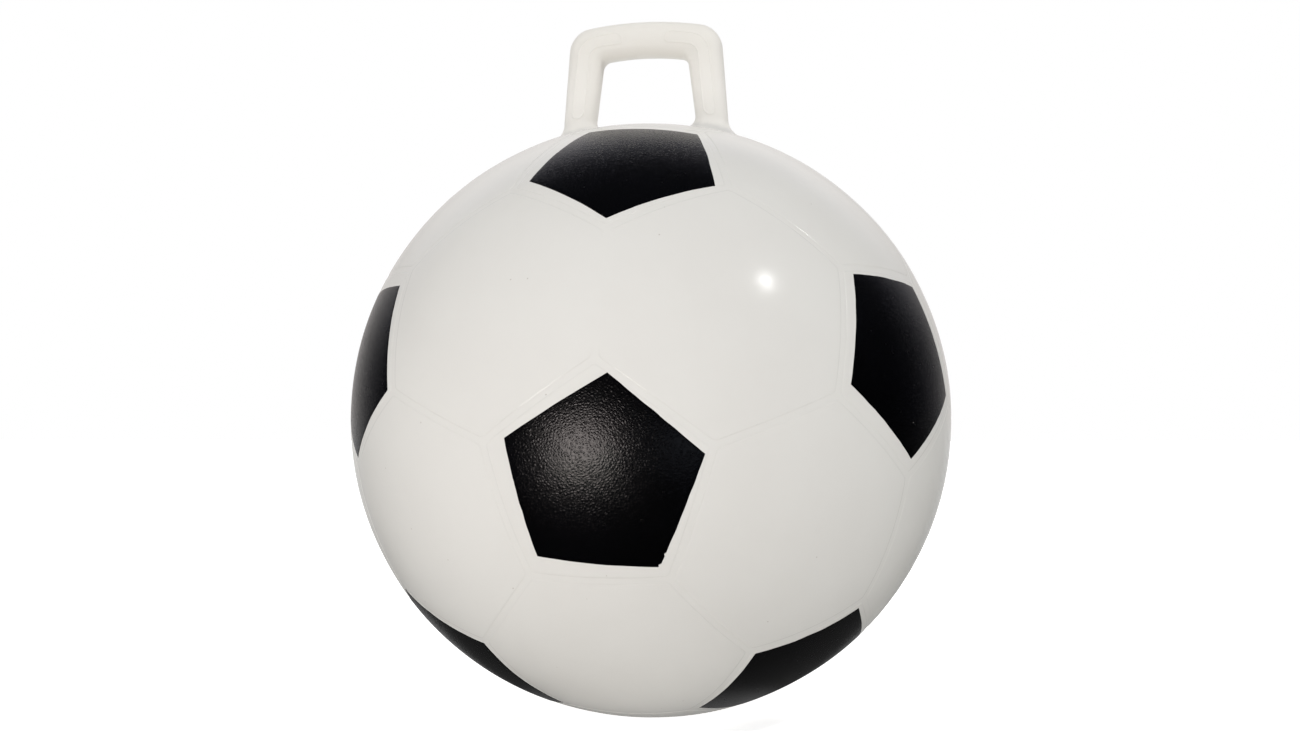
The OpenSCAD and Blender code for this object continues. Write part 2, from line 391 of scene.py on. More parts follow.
def rounded(points: Outline, radius: float, steps: int = 4, straight: float = 2.2) -> Outline:
    """Rounds the corners of a closed outline.

    Args:
        points: Corners of the outline.
        radius: Largest distance from a corner at which its curve starts.
        steps: Number of steps along each curve.
        straight: A side's length against the most that a curve takes of it.

    Returns:
        The new outline.
    """
    made = []
    corners = [Vector(p) for p in points]
    for k, c in enumerate(corners):
        before, after = corners[k - 1] - c, corners[(k + 1) % len(corners)] - c
        r = min(radius, before.length / straight, after.length / straight)
        a, b = c + before.normalized() * r, c + after.normalized() * r
        for step in range(steps + 1):
            t = step / steps
            made.append(tuple(a * (1 - t) ** 2 + c * 2 * t * (1 - t) + b * t * t))
    return made


@dataclass(frozen=True)
class SeamChannel:
    """The shallow channel along each seam, with a fine crease along both of its edges.

    Attributes:
        width: Width of the channel.
        depth: Depth of the channel under the skin.
        slope: Width of each rounded side.
        crease: Depth of the crease.
        crease_w: Half width of the crease.
        blend: Rounding where two channels meet.
        gaps: Distances of the rows of points from the middle of the seam, in millimetres.
        smoothed: The two pentagons whose joining seam came out of the mould nearly smooth.
        left: Share of the depth that this seam still has.
        smoothed_reach: Distance from its middle at which it has its full depth again.
        smoothed_start: Share of this distance at which the depth begins to grow.
    """

    width: float = 5.0 * MM
    depth: float = 0.21 * MM
    slope: float = 1.1 * MM
    crease: float = 0.04 * MM
    crease_w: float = 0.36 * MM
    blend: float = 2.4 * MM
    gaps: tuple[float, ...] = (
        0.0, 0.7, 1.3, 1.7, 1.9, 2.1, 2.26, 2.4, 2.54, 2.7, 2.86, 3.05, 3.3, 3.7, 4.3)
    smoothed: tuple[int, int] = (0, 6)
    left: float = 0.1
    smoothed_reach: float = 46.0 * MM
    smoothed_start: float = 0.8

    def form(self, first: np.ndarray, second: np.ndarray) -> tuple[np.ndarray, np.ndarray]:
        """Gives the height of the channel's surface and how far each point lies in a crease.

        Args:
            first: Distance to the nearest seam.
            second: Distance to the next nearest seam.

        Returns:
            Height over the skin, and a share that is 1 in the middle of a crease.
        """
        share = np.clip(1 - (second - first) / self.blend, 0.0, 1.0)
        distance = first - self.blend / 4 * share**2
        half = self.width / 2
        floor = 1 - smooth_step(half - self.slope / 2, half + self.slope / 2, distance)
        crease = np.exp(-((distance - half) / self.crease_w) ** 2)
        return -self.depth * floor - self.crease * crease, crease

    def smoothing(self, places: np.ndarray, middle: np.ndarray) -> np.ndarray:
        """Gives the share of the depth that is left round the smoothed seam.

        Args:
            places: Points from the middle of the ball.
            middle: Middle of the smoothed seam.

        Returns:
            Shares from left to 1.
        """
        away = np.linalg.norm(places - middle, axis=1)
        start = self.smoothed_start * self.smoothed_reach
        return self.left + (1 - self.left) * smooth_step(start, self.smoothed_reach, away)


@dataclass
class BallSkin:
    """The hollow vinyl skin, with its seams and the hole for the valve.

    Attributes:
        shape: Surface of the ball.
        pattern: The football pattern.
        seam: Form of the seams.
        valve_direction: Direction of the valve from the middle of the ball.
        hole_r: Radius of the hole for the valve.
        wall: Thickness of the skin.
        columns: Steps along each seam.
        row_growth: Ratio between the widths of the further rows.
        row_most: Greatest width of a row.
        row_last: Share of the panel that the last row before its middle keeps free.
        corner_share: How far the columns draw together at the corners.
        inner_rows: Rows of points on the inside of each sector.
        hole_rings: Rings of points on the wall of the hole.
        valve_near: Cosine of the angle within which a panel's middle is the valve's place.
    """

    shape: BallShape
    pattern: FootballPattern
    seam: SeamChannel
    valve_direction: np.ndarray
    hole_r: float = 11.0 * MM
    wall: float = 1.2 * MM
    columns: int = 30
    row_growth: float = 1.4
    row_most: float = 11.0 * MM
    row_last: float = 0.04
    corner_share: float = 0.75
    inner_rows: int = 6
    hole_rings: int = 4
    valve_near: float = 0.99

    def build(self) -> bpy.types.Object:
        """Makes the skin as one closed shell.

        Returns:
            The skin's object.
        """
        maker = MeshMaker("ball_skin_vinyl")
        for panel in self.pattern.pentagons + self.pattern.hexagons:
            for k in range(len(panel.corners)):
                self._sector(maker, panel, k)
        return maker.build()

    def _row_shares(self, apothem: float, dense: bool) -> np.ndarray:
        """Gives the rows of a sector as shares, 1 at the seam and 0 in the middle of the panel.

        Args:
            apothem: Distance from the middle of the panel to its side.
            dense: Whether the rows are the outer ones, which are close together at the seam.

        Returns:
            The shares.
        """
        if not dense:
            return np.linspace(1.0, 0.0, self.inner_rows)
        gaps = [gap * MM for gap in self.seam.gaps]
        step = gaps[-1] - gaps[-2]
        while gaps[-1] + step < apothem:
            gaps.append(gaps[-1] + step)
            step = min(step * self.row_growth, self.row_most)
        shares = 1.0 - np.array(gaps) / apothem
        return np.append(shares[shares > self.row_last], 0.0)

    def _sector(self, maker: MeshMaker, panel: Panel, k: int) -> None:
        """Adds the outer and inner surface between one side of a panel and its middle.

        Args:
            maker: The skin's mesh.
            panel: The panel.
            k: Number of its side.
        """
        a, b = panel.sector(k)
        u = np.linspace(0.0, 1.0, self.columns + 1)
        s = (1 - self.corner_share) * u + self.corner_share * (0.5 - 0.5 * np.cos(math.pi * u))
        side = a[None] * (1 - s)[:, None] + b[None] * s[:, None]
        flatness = a @ panel.centre
        inner, holed = self._inner_ring(panel, side, flatness)
        apothem = np.linalg.norm((a + b) / 2 - panel.centre * flatness) * self.shape.polar_r
        for dense in (True, False):
            shares = self._row_shares(apothem, dense)[:, None, None]
            directions = inner[None] * (1 - shares) + side[None] * shares
            flat = directions.reshape(-1, 3)
            lift, crease = self._seam_form(flat, panel, k) if dense else (-self.wall, None)
            points = self.shape.lifted(flat, lift)
            points[:, 2] = np.maximum(points[:, 2], 0.0 if dense else self.wall)
            maker.grid(points.reshape(directions.shape), flip=dense, marks=crease)
        if holed:
            depths = np.linspace(0.0, 1.0, self.hole_rings)
            wall = [self.shape.lifted(inner, -self.wall * d) for d in depths]
            maker.grid(np.array(wall), flip=True)

    def _inner_ring(self, panel: Panel, side: np.ndarray,
                    flatness: float) -> tuple[np.ndarray, bool]:
        """Gives the points where a sector ends: its panel's middle or the edge of the hole.

        Args:
            panel: The panel.
            side: Points along its side.
            flatness: Distance of the side's plane from the middle of the ball.

        Returns:
            The points, and whether they lie round the hole.
        """
        if panel.centre @ self.valve_direction < self.valve_near:
            return np.repeat(panel.centre[None] * flatness, len(side), axis=0), False
        middle = self.valve_direction * flatness
        spokes = side - middle
        spokes -= self.valve_direction[None] * (spokes @ self.valve_direction)[:, None]
        radius = math.tan(self.hole_r / (self.shape.polar_r + self.shape.squat_r)) * flatness
        return middle + unit(spokes) * radius, True

    def _seam_form(self, directions: np.ndarray, panel: Panel,
                   k: int) -> tuple[np.ndarray, np.ndarray]:
        """Gives the form of the seams round a panel.

        Args:
            directions: Directions to points of one of its sectors.
            panel: The panel.
            k: Number of the sector.

        Returns:
            Height over the skin, and how far each point lies in a crease.
        """
        sides = len(panel.corners)
        d = unit(directions)
        distances = []
        for m in (k - 1, k, k + 1):
            a, b = panel.sector(m % sides)
            distances.append(np.abs(d @ unit(np.cross(a, b))) * self.shape.polar_r)
        ordered = np.sort(np.array(distances), axis=0)
        first, second = self.seam.smoothed
        middle = unit(self.pattern.middles[first] + self.pattern.middles[second])
        share = self.seam.smoothing(d * self.shape.polar_r, middle * self.shape.polar_r)
        height, crease = self.seam.form(ordered[0], ordered[1])
        return height * share, crease * share


@dataclass(frozen=True)
class Stencil:
    """Where the paint of one pentagon really lies.

    Attributes:
        turn: Turn about the panel's middle in degrees.
        shift_x: Shift towards the panel's first corner.
        shift_y: Shift across that.
        grow: Change of the size.
    """

    turn: float = -2.0
    shift_x: float = 0.0
    shift_y: float = 0.0
    grow: float = 0.0


@dataclass(frozen=True)
class Chip:
    """A small bite out of the edge of the paint.

    Attributes:
        panel: Number of the pentagon.
        side: Number of its side.
        place: Place along the side, from 0 to 1.
        depth: Depth of the bite.
        width: Width of the bite.
    """

    panel: int
    side: int
    place: float
    depth: float
    width: float


@dataclass
class BlackPaint:
    """The black paint on the twelve pentagons.

    Attributes:
        shape: Surface of the ball.
        pattern: The football pattern.
        stencils: The panels whose paint lies off its usual place.
        chips: Bites out of the paint's edges.
        reach: Angle from a panel's middle to the corners of its paint, in degrees.
        coat: Height of the paint over the skin.
        sunk: Depth of the paint's underside in the skin.
        waver: Waviness of the paint's edges.
        wave_short: Shortest wave of an edge.
        wave_long: Longest wave of an edge.
        wave_count: Number of its waves.
        first_seed: Seed of the first panel's waves.
        edge_steps: Distances in from the edge of the rows that round it, in millimetres.
        edge_lifts: Their heights against the coat.
        columns: Steps along each side.
        rows: Rows of points on the top.
        under_rows: Rows of points on the underside.
    """

    shape: BallShape
    pattern: FootballPattern
    stencils: dict[int, Stencil]
    chips: tuple[Chip, ...]
    reach: float = 17.4
    coat: float = 0.13 * MM
    sunk: float = 0.25 * MM
    waver: float = 0.16 * MM
    wave_short: float = 9.0 * MM
    wave_long: float = 34.0 * MM
    wave_count: int = 7
    first_seed: int = 40
    edge_steps: tuple[float, ...] = (0.0, 0.12, 0.3, 0.6)
    edge_lifts: tuple[float, ...] = (-0.3, 0.45, 0.85, 1.0)
    columns: int = 56
    rows: int = 16
    under_rows: int = 6

    def build(self) -> bpy.types.Object:
        """Makes the twelve patches of paint as one object.

        Returns:
            The paint's object.
        """
        maker = MeshMaker("black_panel_paint")
        for number, panel in enumerate(self.pattern.pentagons):
            self._patch(maker, number, panel)
        return maker.build()

    def _corners(self, panel: Panel, stencil: Stencil) -> np.ndarray:
        """Gives the five corners of the paint.

        Args:
            panel: The pentagon.
            stencil: Where its paint lies.

        Returns:
            Directions from the middle of the ball.
        """
        x, y = panel.axes()
        radius = math.sin(math.radians(self.reach)) + stencil.grow / self.shape.polar_r
        made = []
        for k in range(5):
            t = math.radians(72 * k + stencil.turn)
            a = radius * math.cos(t) + stencil.shift_x / self.shape.polar_r
            b = radius * math.sin(t) + stencil.shift_y / self.shape.polar_r
            made.append(a * x + b * y + math.sqrt(1 - a * a - b * b) * panel.centre)
        return np.array(made)

    def _patch(self, maker: MeshMaker, number: int, panel: Panel) -> None:
        """Adds one closed patch, a top that rolls down to a sunk underside.

        Args:
            maker: The paint's mesh.
            number: Number of the pentagon.
            panel: The pentagon.
        """
        corners = self._corners(panel, self.stencils.get(number, Stencil()))
        middle = unit(corners.mean(axis=0))
        waves = Waves(self.first_seed + number, self.wave_short, self.wave_long, self.wave_count)
        s = np.linspace(0.0, 1.0, self.columns + 1)[:-1]
        ends = np.roll(corners, -1, axis=0)
        outline = np.concatenate([
            self._side(corners[k], ends[k], middle, s, waves, number, k) for k in range(5)])
        inward = middle * (corners[0] @ middle) - outline
        lengths = np.linalg.norm(inward, axis=1, keepdims=True)
        edge_steps = np.array(self.edge_steps) * MM / self.shape.polar_r
        edge_lifts = np.array(self.edge_lifts) * self.coat
        rows = [self.shape.lifted(outline, -self.sunk)]
        for step, lift in zip(edge_steps, edge_lifts):
            rows.append(self.shape.lifted(outline + inward / lengths * step, lift))
        for share in np.linspace(0.0, 1.0, self.rows)[1:]:
            rows.append(self.shape.lifted(outline + inward * share, self.coat))
        maker.grid(np.array(rows), closed=True)
        under = [self.shape.lifted(outline + inward * share, -self.sunk)
                 for share in np.linspace(0, 1, self.under_rows)]
        maker.grid(np.array(under), closed=True, flip=True)

    def _side(self, a: np.ndarray, b: np.ndarray, middle: np.ndarray, s: np.ndarray,
              waves: Waves, number: int, k: int) -> np.ndarray:
        """Gives the slightly wavy edge of the paint between two corners.

        Args:
            a: First corner.
            b: Second corner.
            middle: Middle of the patch.
            s: Places along the side.
            waves: The waviness of this patch.
            number: Number of the pentagon.
            k: Number of the side.

        Returns:
            Directions along the edge.
        """
        line = a[None] * (1 - s)[:, None] + b[None] * s[:, None]
        inward = unit(middle * (a @ middle) - (a + b) / 2)
        points = unit(line) * self.shape.polar_r
        amount = self.waver * waves.at(points) * np.sin(math.pi * s) ** 0.5
        for chip in self.chips:
            if chip.panel == number and chip.side == k:
                along = (s - chip.place) * np.linalg.norm(b - a) * self.shape.polar_r
                amount = amount + chip.depth * np.clip(1 - (2 * along / chip.width) ** 2, 0.0, 1.0)
        return line + inward[None] * (amount / self.shape.polar_r)[:, None]


@dataclass(frozen=True)
class LoopSide:
    """The outer or the inner outline of the handle, measured up from the top of the ball.

    Attributes:
        half_foot: Half width level with the top of the ball.
        half_top: Half width level with the top of the handle.
        arch_z: Height of the middle of the arch.
        arch_r: Radius of the arch.
        corner_r: Radius of the corner.
        full_h: Height of the handle.
    """

    half_foot: float
    half_top: float
    arch_z: float
    arch_r: float
    corner_r: float
    full_h: float

    @property
    def lean(self) -> float:
        """Angle of the leg from upright."""
        return math.atan((self.half_foot - self.half_top) / self.full_h)

    def leg_x(self, z: np.ndarray | float) -> np.ndarray | float:
        """Gives the leg's half width at a height."""
        return self.half_foot + (self.half_top - self.half_foot) * z / self.full_h

    def corner_centre(self) -> Vector:
        """Gives the middle of the circle that touches the leg's line and the arch."""
        a = self.lean
        start = Vector((self.half_foot, 0)) - self.corner_r * Vector((math.cos(a), math.sin(a)))
        up = Vector((-math.sin(a), math.cos(a)))
        w = start - Vector((0, self.arch_z - self.arch_r))
        b = w.dot(up)
        c = w.dot(w) - (self.arch_r - self.corner_r) ** 2
        return start + (math.sqrt(b * b - c) - b) * up

    def arch_end(self) -> float:
        """Gives the angle from upright at which the arch meets the corner."""
        c = self.corner_centre()
        return math.atan2(c.x, c.y - self.arch_z + self.arch_r)

    def point(self, q: float, low_z: float) -> Vector:
        """Gives a point of the outline.

        Args:
            q: 0 to 1 along the arch, 1 to 2 round the corner, 2 to 3 down the leg.
            low_z: Height at which the leg's straight part ends.

        Returns:
            Half width and height.
        """
        end = self.arch_end()
        if q <= 1:
            t = q * end
            middle = Vector((0, self.arch_z - self.arch_r))
            return middle + self.arch_r * Vector((math.sin(t), math.cos(t)))
        if q <= 2:
            t = end + (q - 1) * (math.pi / 2 - self.lean - end)
            return self.corner_centre() + self.corner_r * Vector((math.sin(t), math.cos(t)))
        top = self.corner_centre().y + self.corner_r * math.sin(self.lean)
        z = top + (q - 2) * (low_z - top)
        return Vector((self.leg_x(z), z))


@dataclass
class GripHandle:
    """The hollow loop handle, with its grip pads and the fillets at its feet.

    Attributes:
        shape: Surface of the ball.
        depth: Depth from front to back.
        fillet: Height of the fillets at the feet.
        side_flare: How far each fillet spreads to the sides.
        front_flare: How far it spreads to the front and the back.
        offset: Distance of the handle's middle from the ball's, towards -X.
        section_share: Power of the rounded section, 1 for an ellipse and less for a fuller one.
        pad_half_w: Half width of the grip pads.
        pad_start: Distance from the middle of the bar at which each pad starts.
        pad_end_z: Height over the top of the ball at which each pad ends.
        pad_turn: Distance from the middle of the bar beyond which the height ends the pads.
        pad_h: Height of the raised outline of the pads.
        pad_rise: Height of the pads inside it, against the outline's.
        pad_slope: Width of their rounded edge.
        bead_in: Distance of the outline's middle from the pads' edge.
        bead_w: Half width of the outline.
        sides: Number of points round the section.
        face_share: How far these points draw together on the front and the back.
        ring_gap: Distance between rings of points.
        samples: Number of places that the spacing of the rings is measured at.
        foot_steps: Number of places down the fillet, its start counted.
        sunk_rings: Height and share of the flare of the last rings, which lie in the skin.
        outer: The outer outline.
        inner: The inner outline.
    """

    shape: BallShape
    depth: float = 28.0 * MM
    fillet: float = 13.0 * MM
    side_flare: float = 18.0 * MM
    front_flare: float = 12.0 * MM
    offset: float = 4.0 * MM
    section_share: float = 0.8
    pad_half_w: float = 4.7 * MM
    pad_start: float = 17.0 * MM
    pad_end_z: float = 7.6 * MM
    pad_turn: float = 70.0 * MM
    pad_h: float = 0.4 * MM
    pad_rise: float = 0.3
    pad_slope: float = 0.8 * MM
    bead_in: float = 0.1 * MM
    bead_w: float = 0.5 * MM
    sides: int = 240
    face_share: float = 0.6
    ring_gap: float = 0.55 * MM
    samples: int = 601
    foot_steps: int = 30
    sunk_rings: tuple[tuple[float, float], ...] = ((-0.12 * MM, 1.06), (-0.3 * MM, 1.1))
    outer: LoopSide = LoopSide(65 * MM, 58.5 * MM, 83.5 * MM, 269 * MM, 19.6 * MM, 83.5 * MM)
    inner: LoopSide = LoopSide(40.4 * MM, 29.5 * MM, 56.5 * MM, 201 * MM, 7 * MM, 83.5 * MM)

    def build(self) -> bpy.types.Object:
        """Makes the handle as one closed mesh that ends just under the skin.

        Returns:
            The handle's object.
        """
        maker = MeshMaker("grip_handle_vinyl")
        left = [ring * np.array([-1.0, 1.0, 1.0]) for ring in self._half_loop(-1)[::-1]]
        rings = np.array(left[:-1] + self._half_loop(1))
        rings[:, :, 0] -= self.offset
        maker.grid(rings, closed=True)
        maker.cap(rings[0], flip=True)
        maker.cap(rings[-1])
        return maker.build()

    def _section(self) -> tuple[np.ndarray, np.ndarray]:
        """Gives the section: shares from inner to outer side, and from back to front."""
        t = np.linspace(0.0, 2 * math.pi, self.sides, endpoint=False)
        t = t + self.face_share / 2 * np.sin(2 * t)
        across, through = (np.sign(v) * np.abs(v) ** self.section_share
                           for v in (np.cos(t), np.sin(t)))
        return across, through

    def _low_z(self, side: LoopSide, way: int) -> float:
        """Gives the height over the top of the ball at which a leg's fillet begins.

        Args:
            side: The leg's outer or inner outline.
            way: 1 for the right leg and -1 for the left one.

        Returns:
            The height.
        """
        x = np.array([way * side.half_foot - self.offset])
        return float(self.shape.crown_z(x, np.zeros(1))[0] - self._top_z()) + self.fillet

    def _top_z(self) -> float:
        """Gives the height of the plain ball's top over the floor."""
        return self.shape.centre_z + self.shape.polar_r

    def _half_loop(self, way: int) -> list[np.ndarray]:
        """Makes the rings from the middle of the bar down to one foot.

        Args:
            way: 1 for the right foot and -1 for the left one, which is made mirrored.

        Returns:
            Rings of points.
        """
        across, through = self._section()
        low_out, low_in = self._low_z(self.outer, way), self._low_z(self.inner, way)
        rings, run, before = [], 0.0, None
        for q in self._places(low_out, low_in):
            o, i = self.outer.point(q, low_out), self.inner.point(q, low_in)
            middle, spoke = (o + i) / 2, (o - i) / 2
            run += 0.0 if before is None else (middle - before).length
            before = middle
            pad = self._pad(run, across * spoke.length, middle.y)
            y = through * self.depth / 2 + np.sign(through) * pad
            x = middle.x + spoke.x * across
            z = middle.y + spoke.y * across + self._top_z()
            rings.append(np.stack([x, -y, z], axis=1))
        turns = np.linspace(0.0, math.pi / 2, self.foot_steps)[1:]
        feet = [(self.fillet * (1 - math.sin(turn)), 1 - math.cos(turn)) for turn in turns]
        return rings + [self._foot_ring(way, h, share) for h, share in feet + list(self.sunk_rings)]

    def _places(self, low_out: float, low_in: float) -> np.ndarray:
        """Spaces the rings evenly along the handle.

        Args:
            low_out: End of the outer leg's straight part.
            low_in: End of the inner leg's straight part.

        Returns:
            Places q along the outlines.
        """
        q = np.linspace(0.0, 3.0, self.samples)
        middles = np.array([
            (self.outer.point(v, low_out) + self.inner.point(v, low_in)) / 2 for v in q])
        run = np.append(0.0, np.cumsum(np.linalg.norm(np.diff(middles, axis=0), axis=1)))
        count = int(run[-1] / self.ring_gap)
        return np.interp(np.linspace(0.0, run[-1], count), run, q)

    def _pad(self, run: float, across: np.ndarray, z: float) -> np.ndarray:
        """Gives the height of the grip pads round one ring.

        Args:
            run: Distance from the middle of the bar.
            across: Distance from the middle of the section, towards the outer side.
            z: Height over the top of the ball.

        Returns:
            Height of the pad at each point.
        """
        if run < self.pad_turn:
            beyond = self.pad_start + self.pad_half_w - run
        else:
            beyond = self.pad_end_z + self.pad_half_w - z
        edge = np.hypot(max(beyond, 0.0), across) - self.pad_half_w
        raised = 1 - smooth_step(-self.pad_slope, 0.0, edge)
        bead = np.exp(-((edge + self.bead_in) / self.bead_w) ** 2)
        return self.pad_h * (self.pad_rise * raised + bead)

    def _foot_ring(self, way: int, h: float, share: float) -> np.ndarray:
        """Makes a ring of one fillet, which flares out until it lies on the skin.

        Args:
            way: 1 for the right foot and -1 for the left one.
            h: Height over the skin.
            share: How much of the flare is reached.

        Returns:
            Points of the ring.
        """
        across, through = self._section()
        outer, inner = (side.leg_x(self._low_z(side, way) - self.fillet + h)
                        for side in (self.outer, self.inner))
        half = (outer - inner) / 2
        middle = (outer + inner) / 2
        x = middle + (half + share * self.side_flare) * across
        y = -through * (self.depth / 2 + share * self.front_flare)
        z = self.shape.crown_z(way * x - self.offset, y) + h
        pad = self._pad(self.pad_turn, half * across, float(np.mean(z)) - self._top_z())
        return np.stack([x, y - np.sign(through) * pad, z], axis=1)


@dataclass
class Valve:
    """The valve: a soft seat in the skin and the plug that closes it.

    Attributes:
        shape: Surface of the ball.
        tilt: Angle of the valve's axis from upright, towards the back.
        neck_r: Radius of the seat in the skin's hole.
        pocket_r: Radius of the pocket for the plug's cap.
        bore_r: Radius of the bore.
        body_r: Radius of the seat's lower part.
        flange_r: Radius of the flange under the skin.
        flange_t: Thickness of the flange.
        flange_gap: How far under the skin's inside the flange starts at the neck.
        body_drop: How far under the flange's thickness the seat's lower part starts.
        wall: Thickness of the skin.
        depth: Depth of the seat.
        lip: Height of the seat's rim over the skin.
        chamfer: Width of the seat's bevels.
        seat_round: Rounding of the seat's corners.
        cap_r: Radius of the plug's cap.
        cap_t: Thickness of the cap.
        dish: Depth of the hollow in the top of the cap.
        rim_w: Width of the cap's rim round that hollow.
        dish_slope: Width of the hollow's side.
        stem_l: Length of the plug's stem.
        stem_clear: Gap between the stem and the bore.
        core_r: Radius of the hollow in the stem.
        core_top: Distance from the stem's end to the top of this hollow, and to its shoulder.
        tip: Width and height of the bevel at the stem's end.
        groove: Depth of the stem's grooves, and half the width of their floor.
        groove_w: Half width of the grooves at the stem's surface.
        groove_shares: Places of the grooves along the stem.
        plug_round: Rounding of the plug's corners.
        bite: Depth of the notch in the cap's rim.
        bite_depth: Width of the part of the cap that the notch may cut.
        bite_turns: Angles from the notch's middle at which it starts to rise and ends.
        gap: Gap between the cap and its pocket.
        sides: Steps round the valve.
    """

    shape: BallShape
    tilt: float = math.radians(41.8)
    neck_r: float = 10.95 * MM
    pocket_r: float = 8.3 * MM
    bore_r: float = 4.5 * MM
    body_r: float = 9.0 * MM
    flange_r: float = 19.0 * MM
    flange_t: float = 1.6 * MM
    flange_gap: float = 0.2 * MM
    body_drop: float = 0.6 * MM
    wall: float = 1.2 * MM
    depth: float = 20.0 * MM
    lip: float = 0.12 * MM
    chamfer: float = 0.5 * MM
    seat_round: float = 0.45 * MM
    cap_r: float = 8.0 * MM
    cap_t: float = 2.0 * MM
    dish: float = 0.35 * MM
    rim_w: float = 1.9 * MM
    dish_slope: float = 0.4 * MM
    stem_l: float = 15.0 * MM
    stem_clear: float = 0.06 * MM
    core_r: float = 2.2 * MM
    core_top: tuple[float, float] = (5.0 * MM, 4.0 * MM)
    tip: tuple[float, float] = (0.7 * MM, 1.2 * MM)
    groove: float = 0.35 * MM
    groove_w: float = 0.7 * MM
    groove_shares: tuple[float, ...] = (0.7, 0.5, 0.3)
    plug_round: float = 0.4 * MM
    bite: float = 1.5 * MM
    bite_depth: float = 1.6 * MM
    bite_turns: tuple[float, float] = (0.12, 0.26)
    gap: float = 0.3 * MM
    sides: int = 120

    def direction(self) -> np.ndarray:
        """Gives the direction of the valve's place from the middle of the ball."""
        return unit(np.array([0.0, *self._spot()]))

    def place(self) -> Matrix:
        """Gives the valve's own frame, with the skin at its height 0."""
        y, z = self._spot()
        spot = Vector((0, y, z + self.shape.centre_z))
        return Matrix.Translation(spot) @ Matrix.Rotation(-self.tilt, 4, "X")

    def _spot(self) -> tuple[float, float]:
        """Gives how far the valve lies behind and over the middle of the ball."""
        r, s = self.shape.polar_r, self.shape.squat_r
        return s + r * math.sin(self.tilt), r * math.cos(self.tilt)

    def build_seat(self) -> bpy.types.Object:
        """Makes the seat: flange, neck with a rolled lip, pocket and bore.

        Returns:
            The seat's object.
        """
        bevel = self.chamfer
        under = -self.wall - self.flange_r**2 / (2 * self.shape.polar_r)
        corners = [
            (self.bore_r, -self.cap_t - bevel), (self.bore_r + bevel, -self.cap_t),
            (self.pocket_r, -self.cap_t), (self.pocket_r, self.lip),
            (self.neck_r - bevel, self.lip), (self.neck_r, -bevel),
            (self.neck_r, -self.wall - self.flange_gap),
            (self.flange_r, under), (self.flange_r, under - self.flange_t),
            (self.body_r, -self.wall - self.flange_t - self.body_drop),
            (self.body_r - bevel, -self.depth), (self.bore_r, -self.depth)]
        outline = rounded(corners, self.seat_round)
        return lathe("valve_seat_soft", outline, self.place(), self.sides)

    def build_plug(self) -> bpy.types.Object:
        """Makes the plug: a cap with a dished middle and a notch, on a hollow, grooved stem.

        Returns:
            The plug's object.
        """
        base = self.gap - self.cap_t
        top, end = base + self.cap_t, base - self.stem_l
        core_end, core_shoulder = self.core_top
        tip_in, tip_up = self.tip
        stem_r = self.bore_r - self.stem_clear
        corners = [(0.0, top - self.dish), (0.0, end + core_end),
                   (self.core_r, end + core_shoulder), (self.core_r, end),
                   (stem_r - tip_in, end), (stem_r, end + tip_up)]
        for share in self.groove_shares:
            z = base - self.stem_l * share
            corners += [(stem_r, z - self.groove_w), (stem_r - self.groove, z - self.groove),
                        (stem_r - self.groove, z + self.groove), (stem_r, z + self.groove_w)]
        dish_r = self.cap_r - self.rim_w
        corners += [(stem_r, base), (self.cap_r, base), (self.cap_r, top), (dish_r, top),
                    (dish_r - self.dish_slope, top - self.dish)]
        outline = rounded(corners, self.plug_round)
        return lathe("valve_plug_moulded", outline, self.place(), self.sides, self._notch)

    def _notch(self, angles: np.ndarray, radius: float) -> np.ndarray:
        """Draws the cap's rim in at one place, for a finger nail.

        Args:
            angles: Angles round the cap.
            radius: The cap's plain radius.

        Returns:
            The radius at each angle.
        """
        near = np.abs((angles + math.pi) % (2 * math.pi) - math.pi)
        limit = self.cap_r - self.bite * (1 - smooth_step(*self.bite_turns, near))
        cut = np.minimum(radius, limit)
        return np.where(radius > self.cap_r - self.bite_depth, cut, radius)


Socket = bpy.types.NodeSocket
Colour = tuple[float, float, float, float]
Value = Socket | float | tuple[float, ...]
WHITE: Colour = (1.0, 1.0, 1.0, 1.0)
BLACK: Colour = (0.0, 0.0, 0.0, 1.0)


class Flow(Enum):
    """What a node group puts out."""

    NUMBER = "NodeSocketFloat"
    VECTOR = "NodeSocketVector"


@dataclass(frozen=True)
class Ramp:
    """A change of a number from one range to another.

    Attributes:
        start: Range that goes in.
        end: Range that comes out.
        bend: Interpolation between them.
    """

    start: tuple[Value, Value]
    end: tuple[float, float] = (0.0, 1.0)
    bend: str = "SMOOTHSTEP"


